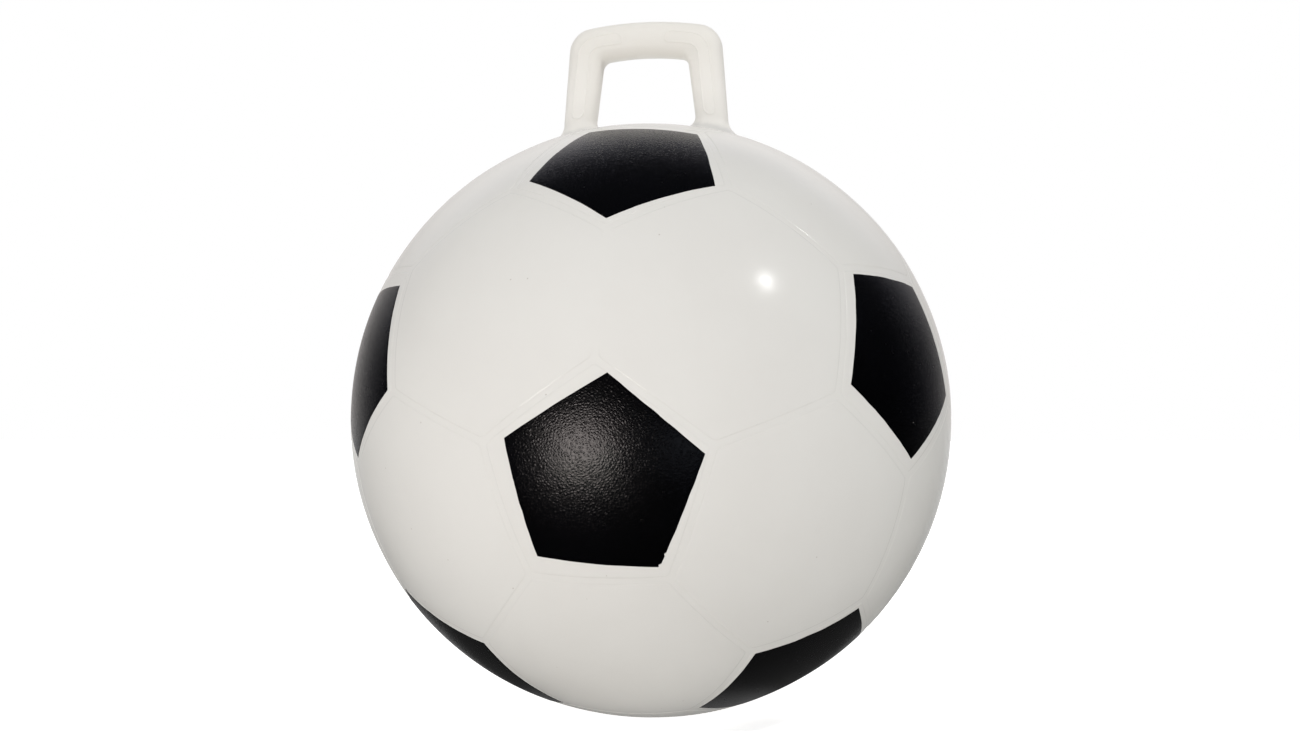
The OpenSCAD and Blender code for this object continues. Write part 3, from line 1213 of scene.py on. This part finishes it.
class NodeKit:
    """Adds nodes to one shader tree and joins them."""

    ENDS = ("From Min", "From Max", "To Min", "To Max")

    def __init__(self, tree: bpy.types.NodeTree) -> None:
        """Takes the tree that the nodes go into."""
        self.tree = tree

    def feed(self, node: bpy.types.Node, inputs: dict[str | int, Value]) -> None:
        """Gives a node what goes into it.

        Args:
            node: The node.
            inputs: A value or another node's socket, by the input's name or number.
        """
        for label, value in inputs.items():
            if isinstance(value, Socket):
                self.tree.links.new(value, node.inputs[label])
            else:
                node.inputs[label].default_value = value

    def add(self, kind: str, inputs: dict[str | int, Value] | None = None,
            **settings: str) -> bpy.types.Node:
        """Adds a node.

        Args:
            kind: Its type, without the first word ShaderNode.
            inputs: What goes into it, as in feed.
            settings: Its other settings.

        Returns:
            The new node.
        """
        node = self.tree.nodes.new("ShaderNode" + kind)
        for name, setting in settings.items():
            setattr(node, name, setting)
        self.feed(node, inputs or {})
        return node

    def place(self) -> Socket:
        """Gives the place on the object."""
        return self.add("TexCoord").outputs["Object"]

    def noise(self, vector: Socket, scale: Value, **others: Value) -> Socket:
        """Adds a noise.

        Args:
            vector: Where it is read.
            scale: Its scale.
            others: Its other inputs.

        Returns:
            The noise's value.
        """
        inputs = {"Vector": vector, "Scale": scale, **others}
        return self.add("TexNoise", inputs).outputs["Fac"]

    def math(self, operation: str, *parts: Socket | float) -> Socket:
        """Joins numbers by one operation."""
        return self.add("Math", dict(enumerate(parts)), operation=operation).outputs["Value"]

    def vector(self, operation: str, *parts: Socket | tuple[float, ...]) -> Socket:
        """Turns vectors into a number by one operation."""
        return self.add("VectorMath", dict(enumerate(parts)), operation=operation).outputs["Value"]

    def ramp(self, value: Socket, ramp: Ramp) -> Socket:
        """Maps a number from one range to another."""
        inputs = {"Value": value, **dict(zip(self.ENDS, ramp.start + ramp.end))}
        return self.add("MapRange", inputs, interpolation_type=ramp.bend).outputs["Result"]

    def mixed(self, mask: Socket, low: Colour | Socket, high: Colour | Socket) -> Socket:
        """Mixes two colours, low where the mask is 0 and high where it is 1."""
        return self.add("Mix", {"Factor": mask, 6: low, 7: high}, data_type="RGBA").outputs[2]

    def effect(self, group: bpy.types.NodeTree, **values: float) -> Socket:
        """Places a shared group with its own values and gives its result."""
        node = self.add("Group", node_tree=group)
        self.feed(node, values)
        return node.outputs[0]


class Effects:
    """Shader node groups that the finishes share, each built once."""

    # The noise that the clouds keep, how far the grain's pebbles are domed, and the form of the
    # rubbed marks.
    CLOUDS = Ramp((0.3, 0.7))
    DOMES = Ramp((0.0, 0.5))
    GRAIN_DETAIL = 1.0
    SCUFF_TURN = (0.5, 0.3, 0.9)
    SCUFF_STRETCH = (1.0, 6.0, 2.0)
    SCUFF_DETAIL = 5.0
    SCUFF_ROUGHNESS = 0.65
    SCUFF_FULL = 0.85

    def __init__(self) -> None:
        """Builds every group."""
        self.unevenness = self._group(
            "soft_unevenness", {"Scale": 20.0, "Detail": 3.0}, "Value", self._unevenness)
        self.grain = self._group(
            "leather_grain", {"Scale": 700.0, "Strength": 1.0, "Depth": 0.0001, "Pebbles": 0.0},
            "Normal", self._grain, Flow.VECTOR)
        self.specks = self._group(
            "scattered_specks", {"Scale": 90.0, "Size": 0.06, "Share": 0.3}, "Mask", self._specks)
        self.scuffs = self._group(
            "rubbed_marks", {"Scale": 30.0, "Reach": 0.62}, "Mask", self._scuffs)

    @staticmethod
    def _group(name: str, inputs: dict[str, float], output: str,
               build: Callable[[NodeKit, bpy.types.NodeOutputs], Socket],
               flow: Flow = Flow.NUMBER) -> bpy.types.NodeTree:
        """Makes a node group.

        Args:
            name: Name of the group.
            inputs: Name and default of each number that goes in.
            output: Name of the result.
            build: Adds the group's nodes and gives the result's socket.
            flow: What the group puts out.

        Returns:
            The group.
        """
        group = bpy.data.node_groups.new(name, "ShaderNodeTree")
        for label, value in inputs.items():
            socket = group.interface.new_socket(
                label, in_out="INPUT", socket_type=Flow.NUMBER.value)
            socket.default_value = value
        group.interface.new_socket(output, in_out="OUTPUT", socket_type=flow.value)
        kit = NodeKit(group)
        given = group.nodes.new("NodeGroupInput").outputs
        kit.feed(group.nodes.new("NodeGroupOutput"), {output: build(kit, given)})
        return group

    def _unevenness(self, kit: NodeKit, given: bpy.types.NodeOutputs) -> Socket:
        """Builds a soft cloudy value."""
        noise = kit.noise(kit.place(), given["Scale"], Detail=given["Detail"])
        return kit.ramp(noise, self.CLOUDS)

    def _grain(self, kit: NodeKit, given: bpy.types.NodeOutputs) -> Socket:
        """Builds the normal of a moulded leather grain: domed pebbles broken up by noise.

        Args:
            kit: The group's nodes.
            given: What goes into the group.

        Returns:
            The normal.
        """
        place = kit.place()
        cells = kit.add("TexVoronoi", {"Vector": place, "Scale": given["Scale"]},
                        feature="DISTANCE_TO_EDGE")
        dome = kit.ramp(cells.outputs["Distance"], self.DOMES)
        noise = kit.noise(place, given["Scale"], Detail=self.GRAIN_DETAIL)
        height = kit.math("MULTIPLY_ADD", dome, given["Pebbles"], noise)
        bump = kit.add("Bump", {"Strength": given["Strength"], "Distance": given["Depth"],
                                "Height": height})
        return bump.outputs["Normal"]

    def _specks(self, kit: NodeKit, given: bpy.types.NodeOutputs) -> Socket:
        """Builds a mask of small scattered dots.

        Args:
            kit: The group's nodes.
            given: What goes into the group.

        Returns:
            The mask.
        """
        cells = kit.add("TexVoronoi", {"Vector": kit.place(), "Scale": given["Scale"]})
        small = kit.math("LESS_THAN", cells.outputs["Distance"], given["Size"])
        pick = kit.add("SeparateColor", {"Color": cells.outputs["Color"]})
        chosen = kit.math("LESS_THAN", pick.outputs["Red"], given["Share"])
        return kit.math("MULTIPLY", small, chosen)

    def _scuffs(self, kit: NodeKit, given: bpy.types.NodeOutputs) -> Socket:
        """Builds a mask of faint rubbed marks, long in one direction and broken up.

        Args:
            kit: The group's nodes.
            given: What goes into the group.

        Returns:
            The mask.
        """
        stretched = kit.add("Mapping", {"Vector": kit.place(), "Rotation": self.SCUFF_TURN,
                                        "Scale": self.SCUFF_STRETCH})
        noise = kit.noise(stretched.outputs["Vector"], given["Scale"], Detail=self.SCUFF_DETAIL,
                          Roughness=self.SCUFF_ROUGHNESS)
        return kit.ramp(noise, Ramp((given["Reach"], self.SCUFF_FULL)))


@dataclass(frozen=True)
class Finish:
    """A surface finish.

    Attributes:
        name: Name of the material.
        colour: Main colour.
        shade: The same colour where it is a little darker.
        mottle_scale: Scale of the change between the two.
        mottle_detail: Detail of that change.
        rough_low: Least roughness.
        rough_high: Roughness of the rubbed marks.
        scuff_scale: Scale of the rubbed marks against the mottle's.
        scuff_reach: Noise at which the rubbed marks begin.
        grain_scale: Scale of the fine grain.
        grain_depth: Depth of the fine grain in metres.
        grain_strength: Strength of the fine grain.
        pebbles: Height of the grain's pebbles against its noise.
        specular: Specular level of the shader.
        speck_colour: Colour of the scattered specks.
        speck_scale: Scale of the specks.
        speck_size: Size of a speck against its cell.
        speck_share: Share of the cells that have a speck.
        pits: Roughness that small dull pits add.
        pit_scale: Scale of the pits.
        pit_size: Size of a pit against its cell.
        pit_share: Share of the cells that have a pit.
    """

    name: str
    colour: Colour
    shade: Colour
    mottle_scale: float
    mottle_detail: float = 4.0
    rough_low: float = 0.3
    rough_high: float = 0.4
    scuff_scale: float = 0.6
    scuff_reach: float = 0.58
    grain_scale: float = 900.0
    grain_depth: float = 0.00003
    grain_strength: float = 0.2
    pebbles: float = 0.0
    specular: float = 0.5
    speck_colour: Colour = (0.3, 0.28, 0.25, 1.0)
    speck_scale: float = 60.0
    speck_size: float = 0.03
    speck_share: float = 0.15
    pits: float = 0.0
    pit_scale: float = 210.0
    pit_size: float = 0.17
    pit_share: float = 0.15

    def material(self, effects: Effects) -> bpy.types.Material:
        """Builds the material.

        Args:
            effects: The shared node groups.

        Returns:
            The new material.
        """
        made = bpy.data.materials.new(self.name)
        made.use_nodes = True
        kit = NodeKit(made.node_tree)
        mottle = kit.effect(effects.unevenness, Scale=self.mottle_scale, Detail=self.mottle_detail)
        tint = kit.mixed(mottle, self.shade, self.colour)
        specks = kit.effect(effects.specks, Scale=self.speck_scale, Size=self.speck_size,
                            Share=self.speck_share)
        dotted = kit.mixed(specks, tint, self.speck_colour)
        marks = kit.effect(effects.scuffs, Scale=self.mottle_scale * self.scuff_scale,
                           Reach=self.scuff_reach)
        rough = kit.ramp(marks, Ramp((0.0, 1.0), (self.rough_low, self.rough_high), "LINEAR"))
        pits = kit.effect(effects.specks, Scale=self.pit_scale, Size=self.pit_size,
                          Share=self.pit_share)
        grain = kit.effect(effects.grain, Scale=self.grain_scale, Strength=self.grain_strength,
                           Depth=self.grain_depth, Pebbles=self.pebbles)
        kit.feed(made.node_tree.nodes["Principled BSDF"], {
            "Base Color": self._overlay(kit, dotted),
            "Roughness": kit.math("MULTIPLY_ADD", pits, self.pits, rough),
            "Specular IOR Level": self.specular,
            "Normal": grain})
        return made

    def _overlay(self, kit: NodeKit, colour: Socket) -> Socket:
        """Adds what a special finish lays over the colour, which is nothing on a plain one."""
        return colour


@dataclass(frozen=True)
class SkinFinish(Finish):
    """The sprayed white of the ball, with a little painted shade in the creases of the seams.

    Attributes:
        crease_shade: Colour of the painted shade in the creases of the seams, where shade falls in
            the channels.
        crease_shade_share: Greatest share of it in a crease.
        crease_shade_least: Least share of it against the greatest.
        crease_shade_scale: Scale of the noise that breaks it up.
        crease_shade_detail: Detail of that noise.
        crease_shade_band: Values of the noise between which the share grows.
    """

    crease_shade: Colour = (0.3, 0.28, 0.26, 1.0)
    crease_shade_share: float = 0.07
    crease_shade_least: float = 0.25
    crease_shade_scale: float = 60.0
    crease_shade_detail: float = 3.0
    crease_shade_band: tuple[float, float] = (0.3, 0.65)

    def _overlay(self, kit: NodeKit, colour: Socket) -> Socket:
        """Paints shade into the creases of the seams, unevenly.

        Args:
            kit: The material's nodes.
            colour: The plain colour.

        Returns:
            The colour with the painted crease shade.
        """
        # Painted shade: the colour is darkened along the creases of the seams, where shade falls in
        # the channels.
        creases = kit.add("Attribute", attribute_name=MeshMaker.CREASES).outputs["Fac"]
        noise = kit.noise(kit.place(), self.crease_shade_scale, Detail=self.crease_shade_detail)
        shares = (self.crease_shade_share * self.crease_shade_least, self.crease_shade_share)
        crease_shade_amount = kit.ramp(noise, Ramp(self.crease_shade_band, shares))
        return kit.mixed(kit.math("MULTIPLY", creases, crease_shade_amount), colour, self.crease_shade)


@dataclass(frozen=True)
class HandleFinish(Finish):
    """The bare vinyl of the handle, with painted light on its legs and the ball's sprayed white
    fading up its feet.

    Attributes:
        leg_painted_light: Lighter colour of the legs than the bar's, painted light that makes up
            for the shade falling on them.
        leg_low: Distance from the middle of the ball below which they have that colour.
        leg_high: Distance above which the handle has its main colour.
        spray_colour: Colour of the white.
        spray_low: Distance from the middle of the ball below which all is white.
        spray_high: Distance above which the vinyl is bare.
        spray_scale: Scale of the unevenness of the white's edge.
        spray_stir: How far this moves the edge.
        centre_z: Height of the middle of the ball.
    """

    leg_painted_light: Colour = (0.96, 0.935, 0.885, 1.0)
    leg_low: float = 260 * MM
    leg_high: float = 290 * MM
    spray_colour: Colour = (0.775, 0.764, 0.732, 1.0)
    spray_low: float = 231.5 * MM
    spray_high: float = 236.5 * MM
    spray_scale: float = 160.0
    spray_stir: float = 3 * MM
    centre_z: float = BallShape.centre_z

    def _overlay(self, kit: NodeKit, colour: Socket) -> Socket:
        """Paints light onto the legs and fades the white in towards the ball, with an uneven edge.

        Args:
            kit: The material's nodes.
            colour: The bar's colour.

        Returns:
            The colour of bar, legs and feet.
        """
        place = kit.place()
        noise = kit.noise(place, self.spray_scale)
        away = kit.vector("DISTANCE", place, (0.0, 0.0, self.centre_z))
        stirred = kit.math("MULTIPLY_ADD", noise, self.spray_stir, away)
        sprayed = kit.ramp(stirred, Ramp((self.spray_low, self.spray_high)))
        # Painted light: the legs get a lighter colour to make up for the shade that falls on them.
        leg_light_share = kit.ramp(away, Ramp((self.leg_low, self.leg_high), bend="LINEAR"))
        bare = kit.mixed(leg_light_share, self.leg_painted_light, colour)
        return kit.mixed(sprayed, self.spray_colour, bare)


@dataclass(frozen=True)
class Finishes:
    """Every finish of the ball.

    Attributes:
        white: The ball's skin.
        black: The paint on the pentagons.
        cream: The handle.
        soft: The valve's seat.
        plug: The valve's plug.
    """

    white: SkinFinish = SkinFinish(
        "sprayed_white_vinyl", (0.79, 0.78, 0.748, 1), (0.775, 0.763, 0.731, 1),
        mottle_scale=14.0, rough_low=0.19, rough_high=0.23,
        grain_scale=420.0, grain_depth=0.00002, grain_strength=0.06,
        speck_colour=(0.6, 0.57, 0.53, 1), speck_scale=62.0, speck_size=0.034, speck_share=0.5)
    black: Finish = Finish(
        "grained_black_paint", (0.0008, 0.0009, 0.0018, 1), (0.0004, 0.0005, 0.001, 1),
        mottle_scale=30.0, rough_low=0.24, rough_high=0.27,
        grain_scale=520.0, grain_depth=0.00009, grain_strength=1.0,
        pebbles=1.0, pits=0.12, specular=0.6,
        speck_colour=(0.4, 0.39, 0.37, 1), speck_scale=70.0, speck_share=0.03)
    cream: HandleFinish = HandleFinish(
        "bare_cream_vinyl", (0.91, 0.885, 0.834, 1), (0.89, 0.865, 0.81, 1),
        mottle_scale=26.0, rough_low=0.36, rough_high=0.48,
        grain_scale=800.0, grain_depth=0.00004, speck_size=0.02, speck_share=0.08)
    soft: Finish = Finish(
        "soft_seat_vinyl", (0.68, 0.67, 0.63, 1), (0.63, 0.61, 0.57, 1),
        mottle_scale=60.0, rough_low=0.5, rough_high=0.62,
        grain_scale=1500.0, grain_depth=0.00002)
    plug: Finish = Finish(
        "moulded_white_plug", (0.84, 0.84, 0.82, 1), (0.8, 0.8, 0.78, 1),
        mottle_scale=80.0, rough_low=0.33, rough_high=0.45,
        grain_scale=2200.0, grain_depth=0.00001)


@dataclass(frozen=True)
class Softbox:
    """A square lamp that faces the ball.

    Attributes:
        name: Name of the lamp.
        place: Its place from the middle of the ball: right, up and to the camera.
        size: Width of the lamp.
        power: Power in watts.
        glossy: Whether it shows as a highlight.
        tint: Colour of the light.
    """

    name: str
    place: tuple[float, float, float]
    size: float
    power: float
    glossy: bool = False
    tint: tuple[float, float, float] = WHITE[:3]


@dataclass(frozen=True)
class Surroundings:
    """The floor and the light from all round, as the eye and the ball's reflections see them.

    Attributes:
        ambient: Strength of the light from all round.
        ambient_slope: How much it grows to the right, upwards and to the backdrop.
        backdrop_level: Brightness of the backdrop in reflections.
        backdrop_fall: How quickly it falls off to the backdrop's sides.
        backdrop_turn: Turn of the backdrop's middle to the left.
        sky_behind: Brightness in reflections from the front to the back.
        sky_above: Where that takes over from the backdrop, by the height.
        sky_front: Tint of the front in reflections.
        sky_back: Tint of the back in reflections.
        floor_half: Half width of the floor.
        floor_colour: Colour of the floor.
        floor_rough: Roughness of the floor.
        floor_specular: Specular level of the floor.
        floor_seen: Light that the floor adds of its own where the camera sees it.
        floor_glow: Light that it adds on the underside of the ball.
        glow_close: How much more of this there is close under the ball.
        mirror_behind: Brightness of the floor in reflections from the side to the back.
        mirror_close: Its brightness close under the ball.
        mirror_reach: How it fades with the distance.
        mirror_before: How it fades before the ball.
    """

    ambient: float = 0.55
    ambient_slope: tuple[float, float, float] = (-0.02, 0.05, 0.1)
    backdrop_level: float = 0.95
    backdrop_fall: float = 5.0
    backdrop_turn: float = math.radians(1.5)
    sky_behind: Ramp = Ramp((0.42, 0.86), (0.02, 0.95))
    sky_above: Ramp = Ramp((0.15, 0.6))
    sky_front: Colour = (0.78, 0.8, 1.0, 1.0)
    sky_back: Colour = (1.0, 0.95, 0.92, 1.0)
    floor_half: float = 30.0
    floor_colour: Colour = (0.8, 0.795, 0.78, 1.0)
    floor_rough: float = 0.9
    floor_specular: float = 0.1
    floor_seen: float = 0.8
    floor_glow: float = 0.1
    glow_close: Ramp = Ramp((0.04, 0.25), (3.0, 1.0))
    mirror_behind: Ramp = Ramp((0.3, 0.85), (0.05, 0.62))
    mirror_close: Ramp = Ramp((0.08, 0.115), (0.17, 0.05))
    mirror_reach: Ramp = Ramp((0.2, 0.6), (1.0, 0.0))
    mirror_before: Ramp = Ramp((-0.3, -0.05), (0.1, 1.0))

    def build(self, turn: float, right: Vector) -> None:
        """Lays the floor and lights the world.

        Args:
            turn: Turn of the camera from the front towards +X.
            right: Direction to the right of the picture.
        """
        turned = turn + self.backdrop_turn
        ahead = (-math.sin(turned), math.cos(turned), 0.0)
        rightwards, upwards, backwards = self.ambient_slope
        slope = right * rightwards + Vector((0, 0, 1)) * upwards + Vector(ahead) * backwards
        self._floor(ahead)
        self._world(ahead, slope)

    def _floor(self, ahead: tuple[float, float, float]) -> None:
        """Lays a pale floor that the camera sees as white apart from the ball's shadow.

        Args:
            ahead: Direction from the front of the studio to its backdrop.
        """
        half = self.floor_half
        mesh = bpy.data.meshes.new("studio_floor")
        mesh.from_pydata([(-half, -half, 0), (half, -half, 0), (half, half, 0), (-half, half, 0)],
                         [], [(0, 1, 2, 3)])
        floor = bpy.data.objects.new("studio_floor", mesh)
        bpy.context.scene.collection.objects.link(floor)
        made = bpy.data.materials.new("studio_floor")
        made.use_nodes = True
        kit = NodeKit(made.node_tree)
        path = kit.add("LightPath").outputs
        seen = kit.math("MULTIPLY", path["Is Camera Ray"], self.floor_seen)
        close = kit.ramp(kit.vector("LENGTH", kit.place()), self.glow_close)
        glow = kit.math("MULTIPLY", path["Is Diffuse Ray"],
                        kit.math("MULTIPLY", close, self.floor_glow))
        mirrored = kit.math("MULTIPLY", path["Is Glossy Ray"], self._mirrored_floor(kit, ahead))
        kit.feed(made.node_tree.nodes["Principled BSDF"], {
            "Base Color": kit.mixed(path["Is Glossy Ray"], self.floor_colour, BLACK),
            "Roughness": self.floor_rough,
            "Specular IOR Level": self.floor_specular,
            "Emission Color": WHITE,
            "Emission Strength": kit.math("ADD", kit.math("ADD", seen, glow), mirrored)})
        mesh.materials.append(made)

    def _mirrored_floor(self, kit: NodeKit, ahead: tuple[float, float, float]) -> Socket:
        """Gives the floor's brightness in reflections: pale behind and under the ball.

        Args:
            kit: The floor's nodes.
            ahead: Direction from the front of the studio to its backdrop.

        Returns:
            The brightness.
        """
        place = kit.place()
        away = kit.vector("LENGTH", place)
        depth = kit.vector("DOT_PRODUCT", place, ahead)
        facing = kit.math("DIVIDE", depth, away)
        pale = kit.math("MAXIMUM", kit.ramp(facing, self.mirror_behind),
                        kit.ramp(away, self.mirror_close))
        near = kit.math("MULTIPLY", kit.math("MULTIPLY", pale, kit.ramp(away, self.mirror_reach)),
                        kit.ramp(depth, self.mirror_before))
        return kit.math("MAXIMUM", near, self._backdrop_glow(kit, facing))

    def _backdrop_glow(self, kit: NodeKit, facing: Socket) -> Socket:
        """Gives the backdrop's brightness in reflections, which falls off to its sides."""
        steep = kit.math("POWER", kit.math("MAXIMUM", facing, 0.0), self.backdrop_fall)
        return kit.math("MULTIPLY", steep, self.backdrop_level)

    def _world(self, ahead: tuple[float, float, float], slope: Vector) -> None:
        """Gives a soft ambient light, a white background and a pale backdrop in reflections.

        Args:
            ahead: Direction from the front of the studio to its backdrop.
            slope: Direction in which the ambient light grows, as long as its growth.
        """
        world = bpy.data.worlds.new("studio")
        bpy.context.scene.world = world
        world.use_nodes = True
        kit = NodeKit(world.node_tree)
        place = kit.add("TexCoord").outputs["Generated"]
        path = kit.add("LightPath").outputs
        camera = path["Is Camera Ray"]
        mirror = kit.math("MAXIMUM", path["Is Glossy Ray"], path["Is Transmission Ray"])
        facing = kit.vector("DOT_PRODUCT", place, ahead)
        height = kit.add("SeparateXYZ", {"Vector": place}).outputs["Z"]
        behind = kit.ramp(facing, self.sky_behind)
        above = kit.ramp(height, self.sky_above)
        high_part = kit.math("MULTIPLY", behind, above)
        low_part = kit.math("MULTIPLY", self._backdrop_glow(kit, facing),
                            kit.math("SUBTRACT", 1.0, above))
        backdrop = kit.math("ADD", high_part, low_part)
        white = kit.math("MAXIMUM", kit.math("MULTIPLY", mirror, backdrop), camera)
        soft = kit.math("ADD", kit.vector("DOT_PRODUCT", place, tuple(slope)), self.ambient)
        seen = kit.math("MAXIMUM", mirror, camera)
        level = kit.add("Mix", {"Factor": seen, 2: soft, 3: white}, data_type="FLOAT")
        tint = kit.mixed(behind, self.sky_front, self.sky_back)
        kit.feed(world.node_tree.nodes["Background"], {
            "Strength": level.outputs[0], "Color": kit.mixed(mirror, WHITE, tint)})


@dataclass
class Studio:
    """Camera, lamps and surroundings.

    Attributes:
        shape: Surface of the ball.
        azimuth: Turn of the camera from the front towards +X.
        elevation: Angle of the camera over the middle of the ball.
        distance: Distance of the camera from the middle of the ball.
        focal_px: Focal length in pixels of the photograph.
        photo_w: Width of the photograph in pixels.
        photo_h: Height of the photograph in pixels.
        ball_px: Where the middle of the ball lies in the photograph.
        sensor: Width of the camera's sensor in millimetres.
        surroundings: The floor and the light from all round.
        boxes: The lamps.
    """

    shape: BallShape
    azimuth: float = math.radians(9.13)
    elevation: float = math.radians(-0.41)
    distance: float = 1.1447
    focal_px: float = 1464.7
    photo_w: int = 1300
    photo_h: int = 731
    ball_px: tuple[float, float] = (651.1, 420.0)
    sensor: float = 36.0
    surroundings: Surroundings = Surroundings()
    boxes: tuple[Softbox, ...] = (
        Softbox("front_lamp", (-0.3, -0.122, 0.755), 0.19, 0.65, True, (1.0, 0.91, 0.87)),
        Softbox("haze_lamp", (0.2, -0.2, 0.985), 0.3, 0.09, True, (0.8, 0.86, 1.0)),
        Softbox("spark_lamp", (1.475, 1.82, 1.09), 0.07, 3.1, True),
        Softbox("high_lamp", (1.475, 1.82, 1.09), 0.07, 9.4),
        Softbox("rim_box", (-2.2, -0.5, -0.9), 1.4, 2.8),
        Softbox("key_box", (-0.5, 1.4, 1.9), 1.4, 8.9),
        Softbox("left_box", (-2.2, 0.3, 0.7), 1.4, 5.4),
        Softbox("top_box", (0.4, 2.2, -0.7), 1.4, 5.0),
    )

    def build(self) -> None:
        """Sets up the whole studio."""
        centre = Vector((0, 0, self.shape.centre_z))
        flat = math.cos(self.elevation)
        back = Vector((math.sin(self.azimuth) * flat, -math.cos(self.azimuth) * flat,
                       math.sin(self.elevation)))
        right = Vector((math.cos(self.azimuth), math.sin(self.azimuth), 0))
        up = back.cross(right)
        self._camera(centre, back)
        for box in self.boxes:
            x, y, z = box.place
            self._lamp(box, centre, right * x + up * y + back * z)
        self.surroundings.build(self.azimuth, right)
        bpy.context.scene.view_settings.view_transform = "Standard"

    @staticmethod
    def _stand(thing: bpy.types.Object, place: Vector, turn: Quaternion) -> None:
        """Places a camera or a lamp and links it to the scene.

        Args:
            thing: The camera's or lamp's object.
            place: Where it stands.
            turn: How it is turned.
        """
        thing.location = place
        thing.rotation_mode = "QUATERNION"
        thing.rotation_quaternion = turn
        bpy.context.scene.collection.objects.link(thing)

    def _camera(self, centre: Vector, back: Vector) -> None:
        """Places the camera, with a shift that frames the ball as the photograph does.

        Args:
            centre: Middle of the ball.
            back: Direction from there to the camera.
        """
        data = bpy.data.cameras.new("camera")
        data.sensor_width = self.sensor
        data.lens = self.focal_px * self.sensor / self.photo_w
        data.shift_x = -(self.ball_px[0] - self.photo_w / 2) / self.photo_w
        data.shift_y = (self.ball_px[1] - self.photo_h / 2) / self.photo_w
        camera = bpy.data.objects.new("camera", data)
        self._stand(camera, centre + back * self.distance, (-back).to_track_quat("-Z", "Y"))
        bpy.context.scene.camera = camera

    def _lamp(self, box: Softbox, centre: Vector, away: Vector) -> None:
        """Adds one lamp.

        Args:
            box: The lamp's sizes.
            centre: Middle of the ball.
            away: The lamp's place from there.
        """
        data = bpy.data.lights.new(box.name, "AREA")
        data.shape = "SQUARE"
        data.size = box.size
        data.energy = box.power
        data.color = box.tint
        lamp = bpy.data.objects.new(box.name, data)
        lamp.visible_camera = False
        lamp.visible_glossy = box.glossy
        self._stand(lamp, centre + away, away.to_track_quat("Z", "Y"))


@dataclass
class HopperBall:
    """The whole ball, put together from its sub-assemblies.

    Attributes:
        shape: Surface of the ball.
        lean: Lean of the football pattern towards +X.
        finishes: The finishes.
        stencils: Where the paint of each pentagon in the photograph lies.
        chips: Bites out of the paint's edges.
    """

    shape: BallShape = field(default_factory=BallShape)
    lean: float = math.radians(0.8)
    finishes: Finishes = Finishes()
    stencils: dict[int, Stencil] = field(default_factory=lambda: {
        0: Stencil(-3.24, -0.35 * MM, -3.37 * MM, -0.36 * MM),
        3: Stencil(-1.45, 0.07 * MM, -3.82 * MM, 1.04 * MM),
        5: Stencil(1.51, -4.98 * MM, 1.11 * MM, -0.41 * MM),
        6: Stencil(-3.81, -2.72 * MM, -3.78 * MM, -0.72 * MM),
        9: Stencil(-1.68, -1.18 * MM, 0.98 * MM, 3.74 * MM),
        11: Stencil(-0.04, -0.18 * MM, -0.02 * MM, 6.49 * MM)})
    chips: tuple[Chip, ...] = (
        Chip(6, 2, 0.12, 1.3 * MM, 1.8 * MM), Chip(6, 2, 0.012, 1.6 * MM, 2.6 * MM),
        Chip(6, 0, 0.35, 0.5 * MM, 1.6 * MM), Chip(0, 1, 0.5, 0.5 * MM, 1.8 * MM),
        Chip(4, 2, 0.3, 0.6 * MM, 2.0 * MM))

    def build(self) -> None:
        """Builds every piece, dresses it and sets it on its body."""
        effects = Effects()
        pattern = FootballPattern(self.lean)
        valve = Valve(self.shape)
        skin = BallSkin(self.shape, pattern, SeamChannel(), valve.direction())
        paint = BlackPaint(self.shape, pattern, self.stencils, self.chips)
        handle = GripHandle(self.shape)
        looks = self.finishes
        for piece, finish, slot, body, node in (
                (skin.build(), looks.white, Slot.WHITE_VINYL, Body.BALL, "ball_skin"),
                (paint.build(), looks.black, Slot.BLACK_PAINT, Body.BALL, "black_panels"),
                (handle.build(), looks.cream, Slot.CREAM_VINYL, Body.BALL, "grip_handle"),
                (valve.build_seat(), looks.soft, Slot.SOFT_VINYL, Body.BALL, "valve_seat"),
                (valve.build_plug(), looks.plug, Slot.PLUG_PLASTIC, Body.PLUG, "valve_plug")):
            self._settle(piece, finish, effects, slot, body, node)

    @staticmethod
    def _settle(piece: bpy.types.Object, finish: Finish, effects: Effects, slot: Slot, body: Body,
                node: str) -> None:
        """Dresses a piece, sets it on its body and hides the solid that it stands for.

        Args:
            piece: The piece's object.
            finish: Its finish.
            effects: The shared node groups.
            slot: The record's material slot; not used.
            body: The body that it rides on.
            node: The solid that it stands for.
        """
        piece.data.materials.append(finish.material(effects))
        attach(piece, body.value)
        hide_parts(node)
        log.info("%s: %d faces on body %s", piece.name, len(piece.data.polygons), body.value)


def main() -> None:
    """Builds the ball and its studio."""
    logging.basicConfig(level=logging.INFO, format="%(name)s %(message)s")
    ball = HopperBall()
    ball.build()
    Studio(ball.shape).build()


if __name__ == "__main__":
    main()
